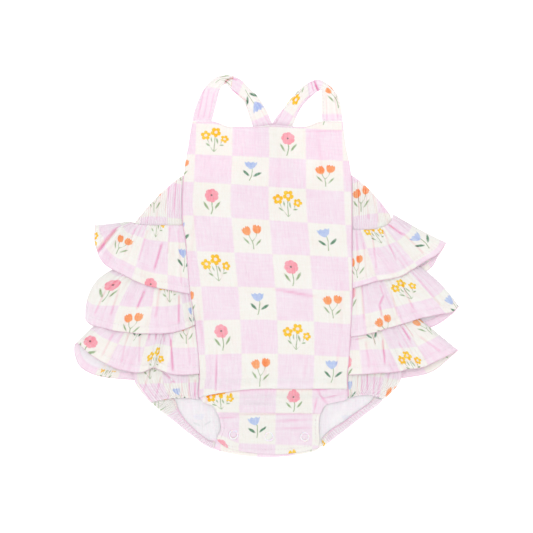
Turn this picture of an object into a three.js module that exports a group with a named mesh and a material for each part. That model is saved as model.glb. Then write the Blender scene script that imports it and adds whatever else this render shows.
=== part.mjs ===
// A baby's romper laid out flat on its back, face up: bib front, gathered sides, three ruffle tiers that run
// round the body, two shoulder straps that cross behind the bib, and a crotch that closes with ring snaps.
// Millimetres. +X is to the right of the laid-out garment, +Y towards the neck, +Z up from the surface it lies on.
// The origin is on the surface, under the middle of the garment.
import * as THREE from "three";

// Cloth and seams
const CLOTH = 1.0; // double gauze with its crinkle
const STRAP_CLOTH = 2.0; // a strap is a folded tube of it
const CASING_CLOTH = 1.6; // a leg casing holds elastic

// Heights of each wall's middle above the surface, lowest layer first
const ON_FLOOR = CLOTH / 2;
const TIER_BACK_TOP = 1.8; // a tier's gathered top, over the hem of the tier above it
const BACK_OVER_TIERS = 3.1;
const SIDE_LAY = 4.4;
const TIER_FRONT_TOP = 5.9;
const TIER_FRONT_HEM = 7.3;
const FRONT_EDGE = 5.7;
const FRONT_EDGE_BY_TIERS = 6.6;
const FRONT_MIDDLE = 7.4;
const CROTCH_LAY = 3.4;
const CROTCH_HEM_LAY = 2.1;
const CASING_LAY = 2.2;

const PRINT_PINK = 0xf3cfe2;
const CREAM = 0xfaf5ee;
const SNAP_WHITE = 0xf2f0f4;

// Helpers
const lerp = (a, b, t) => a + (b - a) * t;
const clamp01 = (t) => Math.min(1, Math.max(0, t));
const ease = (from, to, x) => {
  const t = clamp01((x - from) / (to - from));
  return t * t * (3 - 2 * t);
};
const hump = (x, at, halfWidth) => Math.exp(-(((x - at) / halfWidth) ** 2));

function table(columns, rows) {
  return rows.map((row) => Object.fromEntries(columns.map((name, i) => [name, row[i]])));
}

// A smooth curve through one column of a table; place counts rows, from 0 to the last one.
function along(rows, column, place) {
  const last = rows.length - 1;
  const i = Math.min(last - 1, Math.max(0, Math.floor(place)));
  const t = place - i;
  const at = (k) => rows[Math.min(last, Math.max(0, k))][column];
  const [a, b, c, d] = [at(i - 1), at(i), at(i + 1), at(i + 2)];
  return b + (t / 2) * (c - a + t * (2 * a - 5 * b + 4 * c - d + t * (3 * (b - c) + d - a)));
}

// Places from 0 to the last row of a table, with the given number of steps between rows.
function places(steps) {
  const out = [0];
  steps.forEach((count, i) => {
    for (let k = 1; k <= count; k++) out.push(i + k / count);
  });
  return out;
}

// Straight interpolation between points that are listed from the top down.
function between(points, y) {
  const found = points.findIndex((p) => p.y <= y);
  const i = Math.max(1, found < 0 ? points.length - 1 : found);
  const [above, below] = [points[i - 1], points[i]];
  return lerp(above.x, below.x, (y - above.y) / (below.y - above.y));
}

const evenly = (count) => Array.from({ length: count + 1 }, (_, i) => i / count);

// A closed wall of cloth on both sides of the surface middle(u, v). It never goes below the surface it lies on.
function wall(name, middle, us, vs, thickness, material) {
  const grid = us.map((u) => vs.map((v) => new THREE.Vector3(...middle(u, v))));
  const [rowCount, columnCount] = [us.length, vs.length];
  const positions = [];
  const sides = [1, -1].map((side) =>
    grid.map((line, i) =>
      line.map((p, j) => {
        const alongU = new THREE.Vector3().subVectors(
          grid[Math.min(rowCount - 1, i + 1)][j],
          grid[Math.max(0, i - 1)][j],
        );
        const alongV = new THREE.Vector3().subVectors(
          line[Math.min(columnCount - 1, j + 1)],
          line[Math.max(0, j - 1)],
        );
        const normal = new THREE.Vector3().crossVectors(alongU, alongV).normalize();
        const q = p.clone().addScaledVector(normal, (side * thickness) / 2);
        positions.push(q.x, q.y, Math.max(0, q.z));
        return positions.length / 3 - 1;
      }),
    ),
  );
  const index = [];
  const quad = (a, b, c, d) => index.push(a, b, c, a, c, d);
  const [over, under] = sides;
  for (let i = 0; i < rowCount - 1; i++)
    for (let j = 0; j < columnCount - 1; j++) {
      quad(over[i][j], over[i + 1][j], over[i + 1][j + 1], over[i][j + 1]);
      quad(under[i][j], under[i][j + 1], under[i + 1][j + 1], under[i + 1][j]);
    }
  for (let i = 0; i < rowCount - 1; i++) {
    const j = columnCount - 1;
    quad(over[i][0], under[i][0], under[i + 1][0], over[i + 1][0]);
    quad(over[i][j], over[i + 1][j], under[i + 1][j], under[i][j]);
  }
  for (let j = 0; j < columnCount - 1; j++) {
    const i = rowCount - 1;
    quad(over[0][j], over[0][j + 1], under[0][j + 1], under[0][j]);
    quad(over[i][j], under[i][j], under[i][j + 1], over[i][j + 1]);
  }
  const geometry = new THREE.BufferGeometry()
    .setAttribute("position", new THREE.Float32BufferAttribute(positions, 3))
    .setIndex(outward(positions, index));
  geometry.computeVertexNormals();
  const mesh = new THREE.Mesh(geometry, material);
  mesh.name = name;
  return mesh;
}

// The triangles in the order that makes the enclosed volume positive.
function outward(positions, index) {
  const corner = (k) => new THREE.Vector3().fromArray(positions, 3 * index[k]);
  let volume = 0;
  for (let k = 0; k < index.length; k += 3)
    volume += corner(k).dot(corner(k + 1).cross(corner(k + 2)));
  if (volume > 0) return index;
  return index.map((_, k) => index[k - (k % 3) + [0, 2, 1][k % 3]]);
}

const muslin = new THREE.MeshStandardMaterial({ color: PRINT_PINK, roughness: 0.95, metalness: 0 });
const creamMuslin = new THREE.MeshStandardMaterial({ color: CREAM, roughness: 0.95, metalness: 0 });
const snapPlastic = new THREE.MeshStandardMaterial({ color: SNAP_WHITE, roughness: 0.35, metalness: 0 });

// Panels whose rows run from a left edge to a right edge

const PANEL_COLUMNS = ["leftY", "leftX", "rightY", "rightX", "sag"];

function panelPoint(rows, across, place) {
  const [leftX, rightX] = [along(rows, "leftX", place), along(rows, "rightX", place)];
  const [leftY, rightY] = [along(rows, "leftY", place), along(rows, "rightY", place)];
  const belly = 4 * across * (1 - across);
  return [lerp(leftX, rightX, across), lerp(leftY, rightY, across) - along(rows, "sag", place) * belly];
}

// Front: the bib and the middle of the body in one piece, down to the crotch

const FRONT_ROWS = table(PANEL_COLUMNS, [
  [152.3, -78.5, 152.3, 79.6, 0],
  [129.7, -82.1, 129.7, 82.2, 0],
  [96, -87.2, 96, 88.2, 0],
  [50.7, -88.5, 50.7, 88.9, 0],
  [23.6, -84.8, 23.6, 88.8, 0],
  [-22.8, -81.2, -22.8, 89.5, 0],
  [-62.7, -75, -62.7, 87.9, 0],
  [-98, -71.5, -98, 85.8, 0],
  [-118, -70.7, -118, 84.2, 0],
  [-138.5, -71.4, -138.5, 84.6, 0],
  [-144.5, -64.5, -143, 73, 0],
  [-147.5, -56.5, -146.5, 61.5, 0],
  [-159.3, -50.4, -158.5, 55.4, 0],
  [-172, -48.6, -172.5, 54.5, 0],
  [-182.4, -52.5, -182, 55.4, 4],
  [-191, -43, -191.3, 54, 7],
]);
const FRONT_STEPS = [2, 2, 2, 2, 3, 2, 2, 2, 10, 1, 1, 1, 2, 1, 1];
const FRONT_ACROSS = 16;
const NECK_DIP = 6;
const NECK_HALF = 59; // the straps start outside this
const NECK_CURVE = 22;
const NECK_RISE = { share: 0.3, at: 8, halfWidth: 16 }; // the neckline is that much higher near its middle
const FRONT_ROUND = 0.6; // how soon the front rises from its side edges to its full height
const FOLDS_FROM_EDGE = 0.3;
const TIERS_FROM_Y = [52, 42]; // the front's edges are higher beside the tiers
const TIERS_TO_Y = [-116, -106];
const CROTCH_SLOPE_Y = [-172, -192];
const CROTCH_FOLDS_Y = [-140, -150];

// Soft ridges that lie in the front; angle is the ridge's direction in degrees, height is up or down
const FRONT_FOLDS = table(["x", "y", "length", "width", "angle", "height"], [
  [-52, -105, 30, 5, 88, 1.4],
  [30, -27, 24, 5, -11, -1.1],
  [-45, 60, 50, 22, 80, 0.9],
  [30, 80, 60, 25, 95, -0.8],
  [10, 20, 70, 14, 4, 0.7],
  [55, -70, 45, 16, 75, 0.9],
  [-20, -75, 50, 18, 20, -0.7],
  [-34, -162, 10, 3.5, 40, 0.5],
  [38, -162, 14, 3.5, -25, 0.5],
]);

// Where the front's side edges run; the pieces sewn to them start a seam's gap beside them.
const SEAM = 0.4;
const FRONT_EDGE_STEPS = 8;
const frontEdges = { left: [], right: [] };
for (let k = 0; k <= (FRONT_ROWS.length - 1) * FRONT_EDGE_STEPS; k++) {
  const at = (column) => along(FRONT_ROWS, column, k / FRONT_EDGE_STEPS);
  frontEdges.left.push({ x: at("leftX"), y: at("leftY") });
  frontEdges.right.push({ x: at("rightX"), y: at("rightY") });
}
const leftSeamX = (y) => between(frontEdges.left, y) - SEAM;
const rightSeamX = (y) => between(frontEdges.right, y) + SEAM;

// The front sags over itself in a flap above the crotch.
const FLAP_Y = -128.3;
const FLAP_DROOP_LEFT = 7; // the flap's ends lie this much lower
const FLAP_DROOP_RIGHT = 0.5;
const FLAP_HALF = 60;
const FLAP_REACH = 6; // half the length of cloth that the flap takes
const FLAP_OVERLAP = 0.25;
const FLAP_OVERLAP_X = [64, 42]; // the overlap dies out between these distances from the middle
const FLAP_SOFT_X = [40, 66]; // past these the flap is only a soft slope
const FLAP_SOFT = 2.3;

function foldHeight(folds, x, y) {
  return folds.reduce((sum, f) => {
    const turn = THREE.MathUtils.degToRad(f.angle);
    const lengthwise = (x - f.x) * Math.cos(turn) + (y - f.y) * Math.sin(turn);
    const crosswise = (y - f.y) * Math.cos(turn) - (x - f.x) * Math.sin(turn);
    return sum + f.height * hump(lengthwise, 0, f.length) * hump(crosswise, 0, f.width);
  }, 0);
}

function frontMiddle(across, place) {
  const [x, flatY] = panelPoint(FRONT_ROWS, across, place);
  const belly = 4 * across * (1 - across);
  const rise = 1 - NECK_RISE.share * hump(x, NECK_RISE.at, NECK_RISE.halfWidth);
  const neck = NECK_DIP * ease(NECK_HALF, NECK_HALF - NECK_CURVE, Math.abs(x)) * rise;
  let y = flatY - neck * ease(1, 0, place);
  const byTiers = ease(...TIERS_FROM_Y, y) * ease(...TIERS_TO_Y, y);
  const edge = lerp(FRONT_EDGE, FRONT_EDGE_BY_TIERS, byTiers);
  const folds = foldHeight(FRONT_FOLDS, x, y);
  const upper = lerp(edge, FRONT_MIDDLE, ease(0, FRONT_ROUND, belly)) + folds * ease(0, FOLDS_FROM_EDGE, belly);
  const crotch = lerp(CROTCH_LAY, CROTCH_HEM_LAY, ease(...CROTCH_SLOPE_Y, y));
  const lower = crotch + folds * ease(...CROTCH_FOLDS_Y, y);
  const droop = x < 0 ? FLAP_DROOP_LEFT : FLAP_DROOP_RIGHT;
  const flapLine = FLAP_Y - droop * (x / FLAP_HALF) ** 2;
  const t = (y - flapLine) / FLAP_REACH;
  const soft = lerp(1, FLAP_SOFT, ease(...FLAP_SOFT_X, Math.abs(x)));
  const z = lerp(upper, lower, 0.5 - 0.5 * Math.sin((Math.PI / 2) * Math.max(-1, Math.min(1, t / soft))));
  if (Math.abs(t) < 1) {
    const overlap = FLAP_OVERLAP * ease(...FLAP_OVERLAP_X, Math.abs(x));
    y = flapLine + (FLAP_REACH * (t ** 3 - overlap * t)) / (1 - overlap);
  }
  return [x, y, z];
}

// Back: flat on the surface, lifted where the ruffles pass under it

const BACK_ROWS = table(PANEL_COLUMNS, [
  [92.5, -88, 92.5, 88.5, 0],
  [78, -106, 78, 106, 0],
  [62, -124, 62, 120, 0],
  [48, -136, 50, 130, 0],
  [20, -140, 20, 137, 0],
  [-25, -142, -25, 141, 0],
  [-70, -142.5, -70, 142, 0],
  [-108, -139.5, -108, 139.5, 0],
  [-124, -138, -123, 138.5, 0],
  [-143.5, -121.5, -140, 122, 0],
  [-156, -106, -154, 104.5, 0],
  [-172, -86, -170, 84.5, 0],
  [-187.5, -65.5, -183, 67, 3],
  [-195, -50, -195, 51, 6.3],
]);
const BACK_STEPS = [1, 1, 3, 1, 1, 1, 1, 2, 2, 2, 1, 1, 1];
const BACK_ACROSS = 12;
const BACK_PEAK_Y = [63, 51]; // where the back starts up over the tiers, and where it is over them
const BACK_FOOT_Y = [-125, -137];

function backMiddle(across, place) {
  const [x, y] = panelPoint(BACK_ROWS, across, place);
  const lift = ease(BACK_PEAK_Y[0], BACK_PEAK_Y[1], y) * ease(BACK_FOOT_Y[1], BACK_FOOT_Y[0], y);
  return [x, y, lerp(ON_FLOOR, BACK_OVER_TIERS, lift)];
}

// Sides: gathered along the seam with the front, under the arm and above the leg

const SIDE_COLUMNS = ["innerY", "outerY", "outerX", "bow"];
const SIDE_LEFT_ROWS = table(SIDE_COLUMNS, [
  [96, 46.5, -138.5, 4],
  [60, 22, -140.5, 2],
  [0, -25, -142.5, 0],
  [-62, -70, -143, 0],
  [-104, -100, -141, 0],
  [-122, -122, -138.5, 0],
  [-140, -143.6, -122.5, 3],
]);
const SIDE_RIGHT_ROWS = table(SIDE_COLUMNS, [
  [96, 54, 129.5, 4],
  [60, 22, 137, 2],
  [0, -25, 141.5, 0],
  [-62, -70, 142.5, 0],
  [-104, -100, 141, 0],
  [-121, -121, 140, 0],
  [-139, -140, 123, 4],
]);
const SIDE_STEPS = [3, 3, 1, 1, 2, 3];
const SIDE_ACROSS = 26;
const SIDE_SEAM_END_Y = -138; // the seam leaves the front's edge here, at the leg
const GATHERS = 9; // ridges across a side
const ARM_GATHER = 0.9;
const ARM_GATHER_Y = [50, 62]; // the gathers under the arm die out on the way down to the first tier
const LEG_GATHER = 1.0;
const LEG_GATHER_ROWS = [4.2, 5.2];
const LEG_DROP = 0.6; // the side lies lower at the leg edge
const LEG_DROP_ROWS = [5, 6];
const GATHER_FROM_SEAM = 0.06;

// Gathers are unevenly high and unevenly spaced. The turns are radians across the whole side.
const UNEVEN_HEIGHT = { share: 0.25, turn: 7, from: 1 };
const UNEVEN_PLACE = { by: 1.3, turn: 9 };

function gatherHeight(outward01) {
  const { share, turn, from } = UNEVEN_HEIGHT;
  const uneven = 1 - share + share * Math.sin(turn * outward01 + from);
  const shift = UNEVEN_PLACE.by * Math.sin(UNEVEN_PLACE.turn * outward01);
  return uneven * (0.5 + 0.5 * Math.sin(2 * Math.PI * GATHERS * outward01 + shift));
}

function sideMiddle(rows, seamX, outward01, place) {
  const belly = 4 * outward01 * (1 - outward01);
  const innerY = along(rows, "innerY", place);
  const innerX = seamX(Math.max(innerY, SIDE_SEAM_END_Y));
  const x = lerp(innerX, along(rows, "outerX", place), outward01);
  const straightY = lerp(innerY, along(rows, "outerY", place), outward01);
  const y = straightY + along(rows, "bow", place) * belly;
  const arm = ARM_GATHER * ease(...ARM_GATHER_Y, y);
  const leg = LEG_GATHER * ease(...LEG_GATHER_ROWS, place);
  const legDrop = LEG_DROP * ease(...LEG_DROP_ROWS, place);
  const gathers = (arm + leg) * gatherHeight(outward01) * ease(0, GATHER_FROM_SEAM, outward01);
  return [x, y, SIDE_LAY - legDrop + gathers];
}

// Tiers: each is one gathered strip that runs from the front's left seam round the left side, across under the
// back, and round the right side to the front's right seam. A row is one place along the strip: where its
// gathered top and its hem lie, how far its middle bows out, and its layer, 1 in front, 0 at a side fold, -1 behind.

const TIER_COLUMNS = ["topX", "topY", "hemX", "hemY", "bow", "layer"];
const TIERS = {
  tier_1: table(TIER_COLUMNS, [
    [-88.3, 43, -81.5, -28.9, 0, 1],
    [-104, 43, -104, -24.5, 0, 1],
    [-120, 43, -128.5, -19.3, 0, 1],
    [-131, 43.5, -155, -6.5, 1, 1],
    [-138.5, 44.5, -171.5, 4, 2, 1],
    [-142, 46, -180, 23, 2, 1],
    [-143.5, 47, -180.5, 43, 0, 0],
    [-142, 46.5, -178.5, 24, 0, -1],
    [-137, 46, -164, -2, 0, -1],
    [-110, 46, -112, -18, 0, -1],
    [-55, 46, -55, -20, 0, -1],
    [0, 46, 0, -20, 0, -1],
    [55, 46, 55, -20, 0, -1],
    [105, 46, 112, -19, 0, -1],
    [130, 47, 166, -6, 0, -1],
    [133.5, 51, 181, 12, 0, -0.9],
    [132.5, 55, 188.3, 25, 1, 0],
    [132, 51, 180, 14, 0, 0.9],
    [127, 44, 164.5, 4.5, 0, 1],
    [118, 40, 151, -4, 0, 1],
    [108, 38.5, 138, -11, 0, 1],
    [98, 38.5, 115, -15.5, 0, 1],
    [89.6, 38.5, 90.2, -23, 0, 1],
  ]),
  tier_2: table(TIER_COLUMNS, [
    [-83.7, -6, -74, -61, 2, 1],
    [-93, -6, -84, -65, 0, 1],
    [-104, -6, -101, -69.6, 0, 1],
    [-118, -6, -128, -70.5, 0, 1],
    [-131, -6, -152, -68.6, 2, 1],
    [-139, -5, -171, -65, 6, 1],
    [-145, -3, -186, -60.5, 11, 1],
    [-147, 1, -191, -54, 15, 0],
    [-145, -3, -184, -61, 11, -0.9],
    [-137, -6, -162, -67, 4, -1],
    [-112, -6, -114, -68, 0, -1],
    [-55, -6, -55, -68, 0, -1],
    [0, -6, 0, -68, 0, -1],
    [55, -6, 55, -68, 0, -1],
    [112, -7, 114, -68, 0, -1],
    [138, -5, 160, -66, 0, -1],
    [146, -2, 178, -62, 0, -1],
    [149, 2, 194, -51, 0, -0.9],
    [151, 6, 201.6, -42, -4, 0],
    [147, 2, 194, -48, -2, 0.9],
    [140, -4, 180, -50.5, 0, 1],
    [131, -7, 160.3, -54.5, 0, 1],
    [121, -8, 141.8, -60.4, 0, 1],
    [110, -8, 126, -65, 0, 1],
    [99, -8, 108, -70.5, 0, 1],
    [90.2, -8, 88.4, -73.9, 0, 1],
  ]),
  tier_3: table(TIER_COLUMNS, [
    [-77.8, -48, -71.8, -112.5, 0, 1],
    [-89, -48, -96, -113.5, 0, 1],
    [-99, -48, -114, -108, 0, 1],
    [-108, -48, -120, -106, 0, 1],
    [-118, -48, -131, -111, 0, 1],
    [-128, -48, -149, -109.4, 0, 1],
    [-137, -48, -168, -102.6, 1, 1],
    [-143, -47, -186.5, -91.5, 2, 1],
    [-147, -45, -197, -82, 3, 0.8],
    [-149, -43, -202, -83, 4, 0],
    [-148, -45, -202, -94, 3, -0.8],
    [-145, -47, -196, -106.5, 0, -1],
    [-137, -48, -178, -115.5, 0, -1],
    [-120, -48, -150, -119, 0, -1],
    [-98, -48, -110, -121, 0, -1],
    [-50, -48, -50, -121, 0, -1],
    [0, -48, 0, -121, 0, -1],
    [50, -50, 50, -121, 0, -1],
    [100, -50, 110, -120.5, 0, -1],
    [123, -50, 148, -117, 0, -1],
    [138, -50, 174, -111, 0, -1],
    [147, -47, 194, -95, 0, -0.9],
    [149, -46, 200.6, -88, 0, 0],
    [147, -46.5, 194.5, -91, 0, 0.9],
    [139, -50, 173, -101.6, 0, 1],
    [130, -50, 160, -106.5, 0, 1],
    [120, -50, 147.8, -107.8, 0, 1],
    [109, -50, 136, -110.7, 0, 1],
    [98, -50, 117, -111.8, 0, 1],
    [89.2, -50, 85.7, -114, 0, 1],
  ]),
};
const TIER_DOWN = 6;
const SEAM_ROWS = 1; // rows over which a tier's end is drawn to the seam
const TIER_WAVES_FROM = 0.3; // waves start at this share of a tier's depth
const TIER_RISE = [0.42, 0.66]; // between these shares of its depth a tier climbs onto the next one
const TIER_STEPS_FRONT = 3; // steps between two rows in front and at the folds
const TIER_STEPS_BACK = 1;

// Ruffle waves in front: a row is one wave, at its place along the strip in rows of the tier's table, with its
// half width in the same rows and its height at the hem.
const WAVE_COLUMNS = ["at", "halfWidth", "height"];
const TIER_WAVES = {
  tier_1: table(WAVE_COLUMNS, [
    [0.5, 0.3, 1.8],
    [1.5, 0.35, 2.4],
    [2.4, 0.3, 2],
    [3.3, 0.35, 3],
    [4.3, 0.3, 2.2],
    [18.6, 0.3, 2.6],
    [19.6, 0.35, 2],
    [20.6, 0.3, 2.8],
    [21.5, 0.3, 1.8],
  ]),
  tier_2: table(WAVE_COLUMNS, [
    [0.25, 0.3, 2.6],
    [1.3, 0.3, 1.6],
    [2.3, 0.35, 2.4],
    [3.3, 0.35, 2],
    [4.4, 0.35, 2.6],
    [20.6, 0.3, 2.2],
    [21.6, 0.35, 2.6],
    [22.6, 0.3, 2],
    [23.6, 0.3, 2.6],
    [24.5, 0.3, 1.6],
  ]),
  tier_3: table(WAVE_COLUMNS, [
    [0.5, 0.3, 2.2],
    [1.5, 0.3, 2],
    [3, 0.4, 4],
    [4.4, 0.35, 2.4],
    [5.6, 0.35, 2.8],
    [24.5, 0.35, 2.4],
    [25.5, 0.3, 2.8],
    [26.6, 0.3, 2.2],
    [27.6, 0.3, 2.6],
    [28.4, 0.3, 1.6],
  ]),
};

// A tier seen from above, before its two ends are brought to the front's seams.
function tierFlat(name, place, down) {
  const rows = TIERS[name];
  const [topX, topY] = [along(rows, "topX", place), along(rows, "topY", place)];
  const [hemX, hemY] = [along(rows, "hemX", place), along(rows, "hemY", place)];
  const length = Math.hypot(hemX - topX, hemY - topY);
  const bow = along(rows, "bow", place) * 4 * down * (1 - down);
  return [
    lerp(topX, hemX, down) + (bow * (hemY - topY)) / length,
    lerp(topY, hemY, down) - (bow * (hemX - topX)) / length,
  ];
}

function tierMiddle(name, place, down) {
  const rows = TIERS[name];
  const last = rows.length - 1;
  const [flatX, y] = tierFlat(name, place, down);
  const [startX, startY] = tierFlat(name, 0, down);
  const [endX, endY] = tierFlat(name, last, down);
  const toStart = (leftSeamX(startY) - startX) * ease(SEAM_ROWS, 0, place);
  const toEnd = (rightSeamX(endY) - endX) * ease(last - SEAM_ROWS, last, place);
  const x = flatX + toStart + toEnd;
  const front01 = 0.5 + 0.5 * Math.max(-1, Math.min(1, along(rows, "layer", place)));
  const hemward = ease(...TIER_RISE, down);
  const frontZ = lerp(TIER_FRONT_TOP, TIER_FRONT_HEM, hemward);
  const backZ = lerp(TIER_BACK_TOP, ON_FLOOR, hemward);
  const wave = TIER_WAVES[name].reduce((sum, w) => sum + w.height * hump(place, w.at, w.halfWidth), 0);
  return [x, y, lerp(backZ, frontZ, front01) + wave * ease(TIER_WAVES_FROM, 1, down)];
}

function tierPlaces(rows) {
  const steps = rows.slice(1).map((row, i) => {
    const behind = row.layer === -1 && rows[i].layer === -1;
    return behind ? TIER_STEPS_BACK : TIER_STEPS_FRONT;
  });
  return places(steps);
}

// Straps: from the bib's top corner over the shoulder and down, crossing behind the bib, to the back's top edge.
// A row gives the two edges of the strap, and the height of its middle.

const STRAP_COLUMNS = ["innerX", "innerY", "outerX", "outerY", "height"];
const STRAPS = {
  strap_left: table(STRAP_COLUMNS, [
    [-58.2, 152.7, -78.4, 152.7, 5.6],
    [-55.3, 163, -76.1, 163, 5.4],
    [-52.9, 172.5, -72.5, 173.5, 5],
    [-50, 184, -67.2, 184.5, 4.8],
    [-46.9, 189.3, -59.9, 193.8, 4.6],
    [-43, 191.8, -50.5, 200, 4.4],
    [-38.9, 187.6, -37.5, 200.6, 3],
    [-32.6, 181.6, -27.3, 196.4, 1.6],
    [-25.8, 175, -18.9, 188.2, 1.2],
    [-21, 165.5, -8.5, 177.4, 1.5],
    [-17.9, 155.3, -0.4, 164, 2.4],
    [-13, 143, 5.5, 150, 3.3],
    [-2, 124, 15.5, 130, 3.3],
    [10, 108, 28, 112, 3],
    [22, 92.9, 41, 92.9, 1],
  ]),
  strap_right: table(STRAP_COLUMNS, [
    [58, 152.7, 79.6, 152.7, 5.6],
    [57.2, 166.2, 77.9, 166.2, 5.4],
    [57.2, 177, 75, 178, 4.9],
    [57.3, 182.6, 69.3, 186.4, 4.5],
    [56.8, 185.4, 62.4, 192.6, 3.8],
    [53.3, 184.4, 54.2, 196.6, 2.8],
    [47.6, 179.6, 46.2, 194.6, 1.8],
    [41, 173.5, 37.8, 189.3, 1.2],
    [35.7, 166.7, 28.4, 180.3, 1],
    [31.5, 158.3, 18.9, 168.3, 1],
    [26, 146, 6.8, 152.5, 1],
    [15, 126, -3, 132, 1],
    [2, 109, -15, 113, 1],
    [-11, 92.9, -30, 92.9, 1],
  ]),
};
const STRAP_STEPS = 2;
const STRAP_ACROSS = 2;

function strapMiddle(name, place, across) {
  const at = (column) => along(STRAPS[name], column, place);
  return [
    lerp(at("innerX"), at("outerX"), across),
    lerp(at("innerY"), at("outerY"), across),
    Math.max(STRAP_CLOTH / 2, at("height")),
  ];
}

// Leg casings: the back's leg edges, turned to the front over elastic

const CASING_COLUMNS = ["outerX", "outerY", "innerX", "innerY"];
const CASINGS = {
  leg_casing_left: table(CASING_COLUMNS, [
    [-122.4, -143.2, -104, -137.8],
    [-114.8, -149.9, -97.1, -141],
    [-107.1, -156.2, -93.5, -149.9],
    [-96.1, -164.4, -88.2, -159.3],
    [-86.7, -172.4, -80.3, -168],
    [-75.6, -180.8, -70.3, -177],
    [-66.6, -187.7, -61.9, -183],
    [-56.5, -192.8, -54.5, -184.5],
  ]),
  leg_casing_right: table(CASING_COLUMNS, [
    [122.4, -140.8, 112.5, -138.2],
    [115.6, -147.2, 108.6, -143.4],
    [105.8, -154.1, 100.8, -149.4],
    [94.5, -162.9, 89.3, -157.4],
    [85.9, -169.8, 80.9, -163.9],
    [77.2, -176.4, 71.4, -169.6],
    [68.3, -183.3, 63, -176.1],
    [59.3, -190.2, 57.4, -182.6],
  ]),
};
const CASING_STEPS = 4;
const CASING_ACROSS = 2;
const CASING_GATHERS = 9;
const CASING_RIPPLE = 0.5;

function casingMiddle(name, place, across) {
  const rows = CASINGS[name];
  const at = (column) => along(rows, column, place);
  const share = place / (rows.length - 1);
  const ripple = CASING_RIPPLE * (0.5 + 0.5 * Math.sin(2 * Math.PI * CASING_GATHERS * share));
  return [
    lerp(at("outerX"), at("innerX"), across),
    lerp(at("outerY"), at("innerY"), across),
    CASING_LAY + ripple * Math.sin(Math.PI * across),
  ];
}

// Snaps: open rings on the crotch

const SNAP_RADIUS = 4.3;
const SNAP_RIM = 0.65;
const SNAP_GAP = 0.3; // between a snap and the cloth it is set in
const SNAPS = table(["x", "y"], [
  [-35.2, -177.2],
  [2.1, -179.3],
  [39.9, -179.3],
]);
const SNAP_SIDES = 20;
const RIM_SIDES = 6;

function snap(name, x, y) {
  const profile = [];
  for (let k = 0; k <= RIM_SIDES; k++) {
    const turn = (2 * Math.PI * k) / RIM_SIDES;
    profile.push(new THREE.Vector2(SNAP_RADIUS + SNAP_RIM * Math.cos(turn), SNAP_RIM * Math.sin(turn)));
  }
  const geometry = new THREE.LatheGeometry(profile, SNAP_SIDES).rotateX(Math.PI / 2);
  const mesh = new THREE.Mesh(geometry, snapPlastic);
  mesh.name = name;
  const clothTop = lerp(CROTCH_LAY, CROTCH_HEM_LAY, ease(...CROTCH_SLOPE_Y, y + SNAP_RADIUS)) + CLOTH / 2;
  mesh.position.set(x, y, clothTop + SNAP_GAP + SNAP_RIM);
  return mesh;
}

// The garment

const romper = new THREE.Group();
romper.name = "romper";

romper.add(
  wall("back_panel", backMiddle, evenly(BACK_ACROSS), places(BACK_STEPS), CLOTH, creamMuslin),
  wall("front_panel", frontMiddle, evenly(FRONT_ACROSS), places(FRONT_STEPS), CLOTH, muslin),
);
const leftSide = (across, place) => sideMiddle(SIDE_LEFT_ROWS, leftSeamX, across, place);
const rightSide = (across, place) => sideMiddle(SIDE_RIGHT_ROWS, rightSeamX, across, place);
romper.add(
  wall("side_left", leftSide, evenly(SIDE_ACROSS), places(SIDE_STEPS), CLOTH, muslin),
  wall("side_right", rightSide, evenly(SIDE_ACROSS), places(SIDE_STEPS), CLOTH, muslin),
);
for (const name of Object.keys(TIERS)) {
  const strip = (place, down) => tierMiddle(name, place, down);
  romper.add(wall(name, strip, tierPlaces(TIERS[name]), evenly(TIER_DOWN), CLOTH, muslin));
}
for (const name of Object.keys(STRAPS)) {
  const band = (place, across) => strapMiddle(name, place, across);
  const steps = Array(STRAPS[name].length - 1).fill(STRAP_STEPS);
  romper.add(wall(name, band, places(steps), evenly(STRAP_ACROSS), STRAP_CLOTH, muslin));
}
for (const name of Object.keys(CASINGS)) {
  const band = (place, across) => casingMiddle(name, place, across);
  const steps = Array(CASINGS[name].length - 1).fill(CASING_STEPS);
  romper.add(wall(name, band, places(steps), evenly(CASING_ACROSS), CASING_CLOTH, muslin));
}
SNAPS.forEach((s, i) => romper.add(snap(`snap_${i + 1}`, s.x, s.y)));

export default romper;
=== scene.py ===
"""A baby's romper of crinkled double gauze with a checked flower print, laid out flat on a pale surface.

Bib front, gathered sides, three ruffle tiers, crossed shoulder straps, elastic leg casings and ring snaps.
The tables are in millimetres, in the frame's own axes, and MM turns them into Blender's metres.
"""
import math

import bmesh
import bpy
from mathutils import Matrix, Vector


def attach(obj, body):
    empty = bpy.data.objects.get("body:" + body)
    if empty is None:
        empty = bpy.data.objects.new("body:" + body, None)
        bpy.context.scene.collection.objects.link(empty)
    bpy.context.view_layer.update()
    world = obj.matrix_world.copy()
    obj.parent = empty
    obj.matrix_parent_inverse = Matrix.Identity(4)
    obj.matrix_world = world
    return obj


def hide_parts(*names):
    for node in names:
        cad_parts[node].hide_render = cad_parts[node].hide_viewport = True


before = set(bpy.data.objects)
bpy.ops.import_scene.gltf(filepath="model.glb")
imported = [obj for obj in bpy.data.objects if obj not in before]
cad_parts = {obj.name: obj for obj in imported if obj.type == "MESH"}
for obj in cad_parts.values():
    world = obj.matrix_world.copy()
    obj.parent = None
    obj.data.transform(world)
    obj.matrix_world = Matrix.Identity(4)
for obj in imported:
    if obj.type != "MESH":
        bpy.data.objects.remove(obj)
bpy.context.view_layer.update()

MM = 0.001

# Cloth
CLOTH = 1.0
STRAP_CLOTH = 2.0
CASING_CLOTH = 1.6

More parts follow.
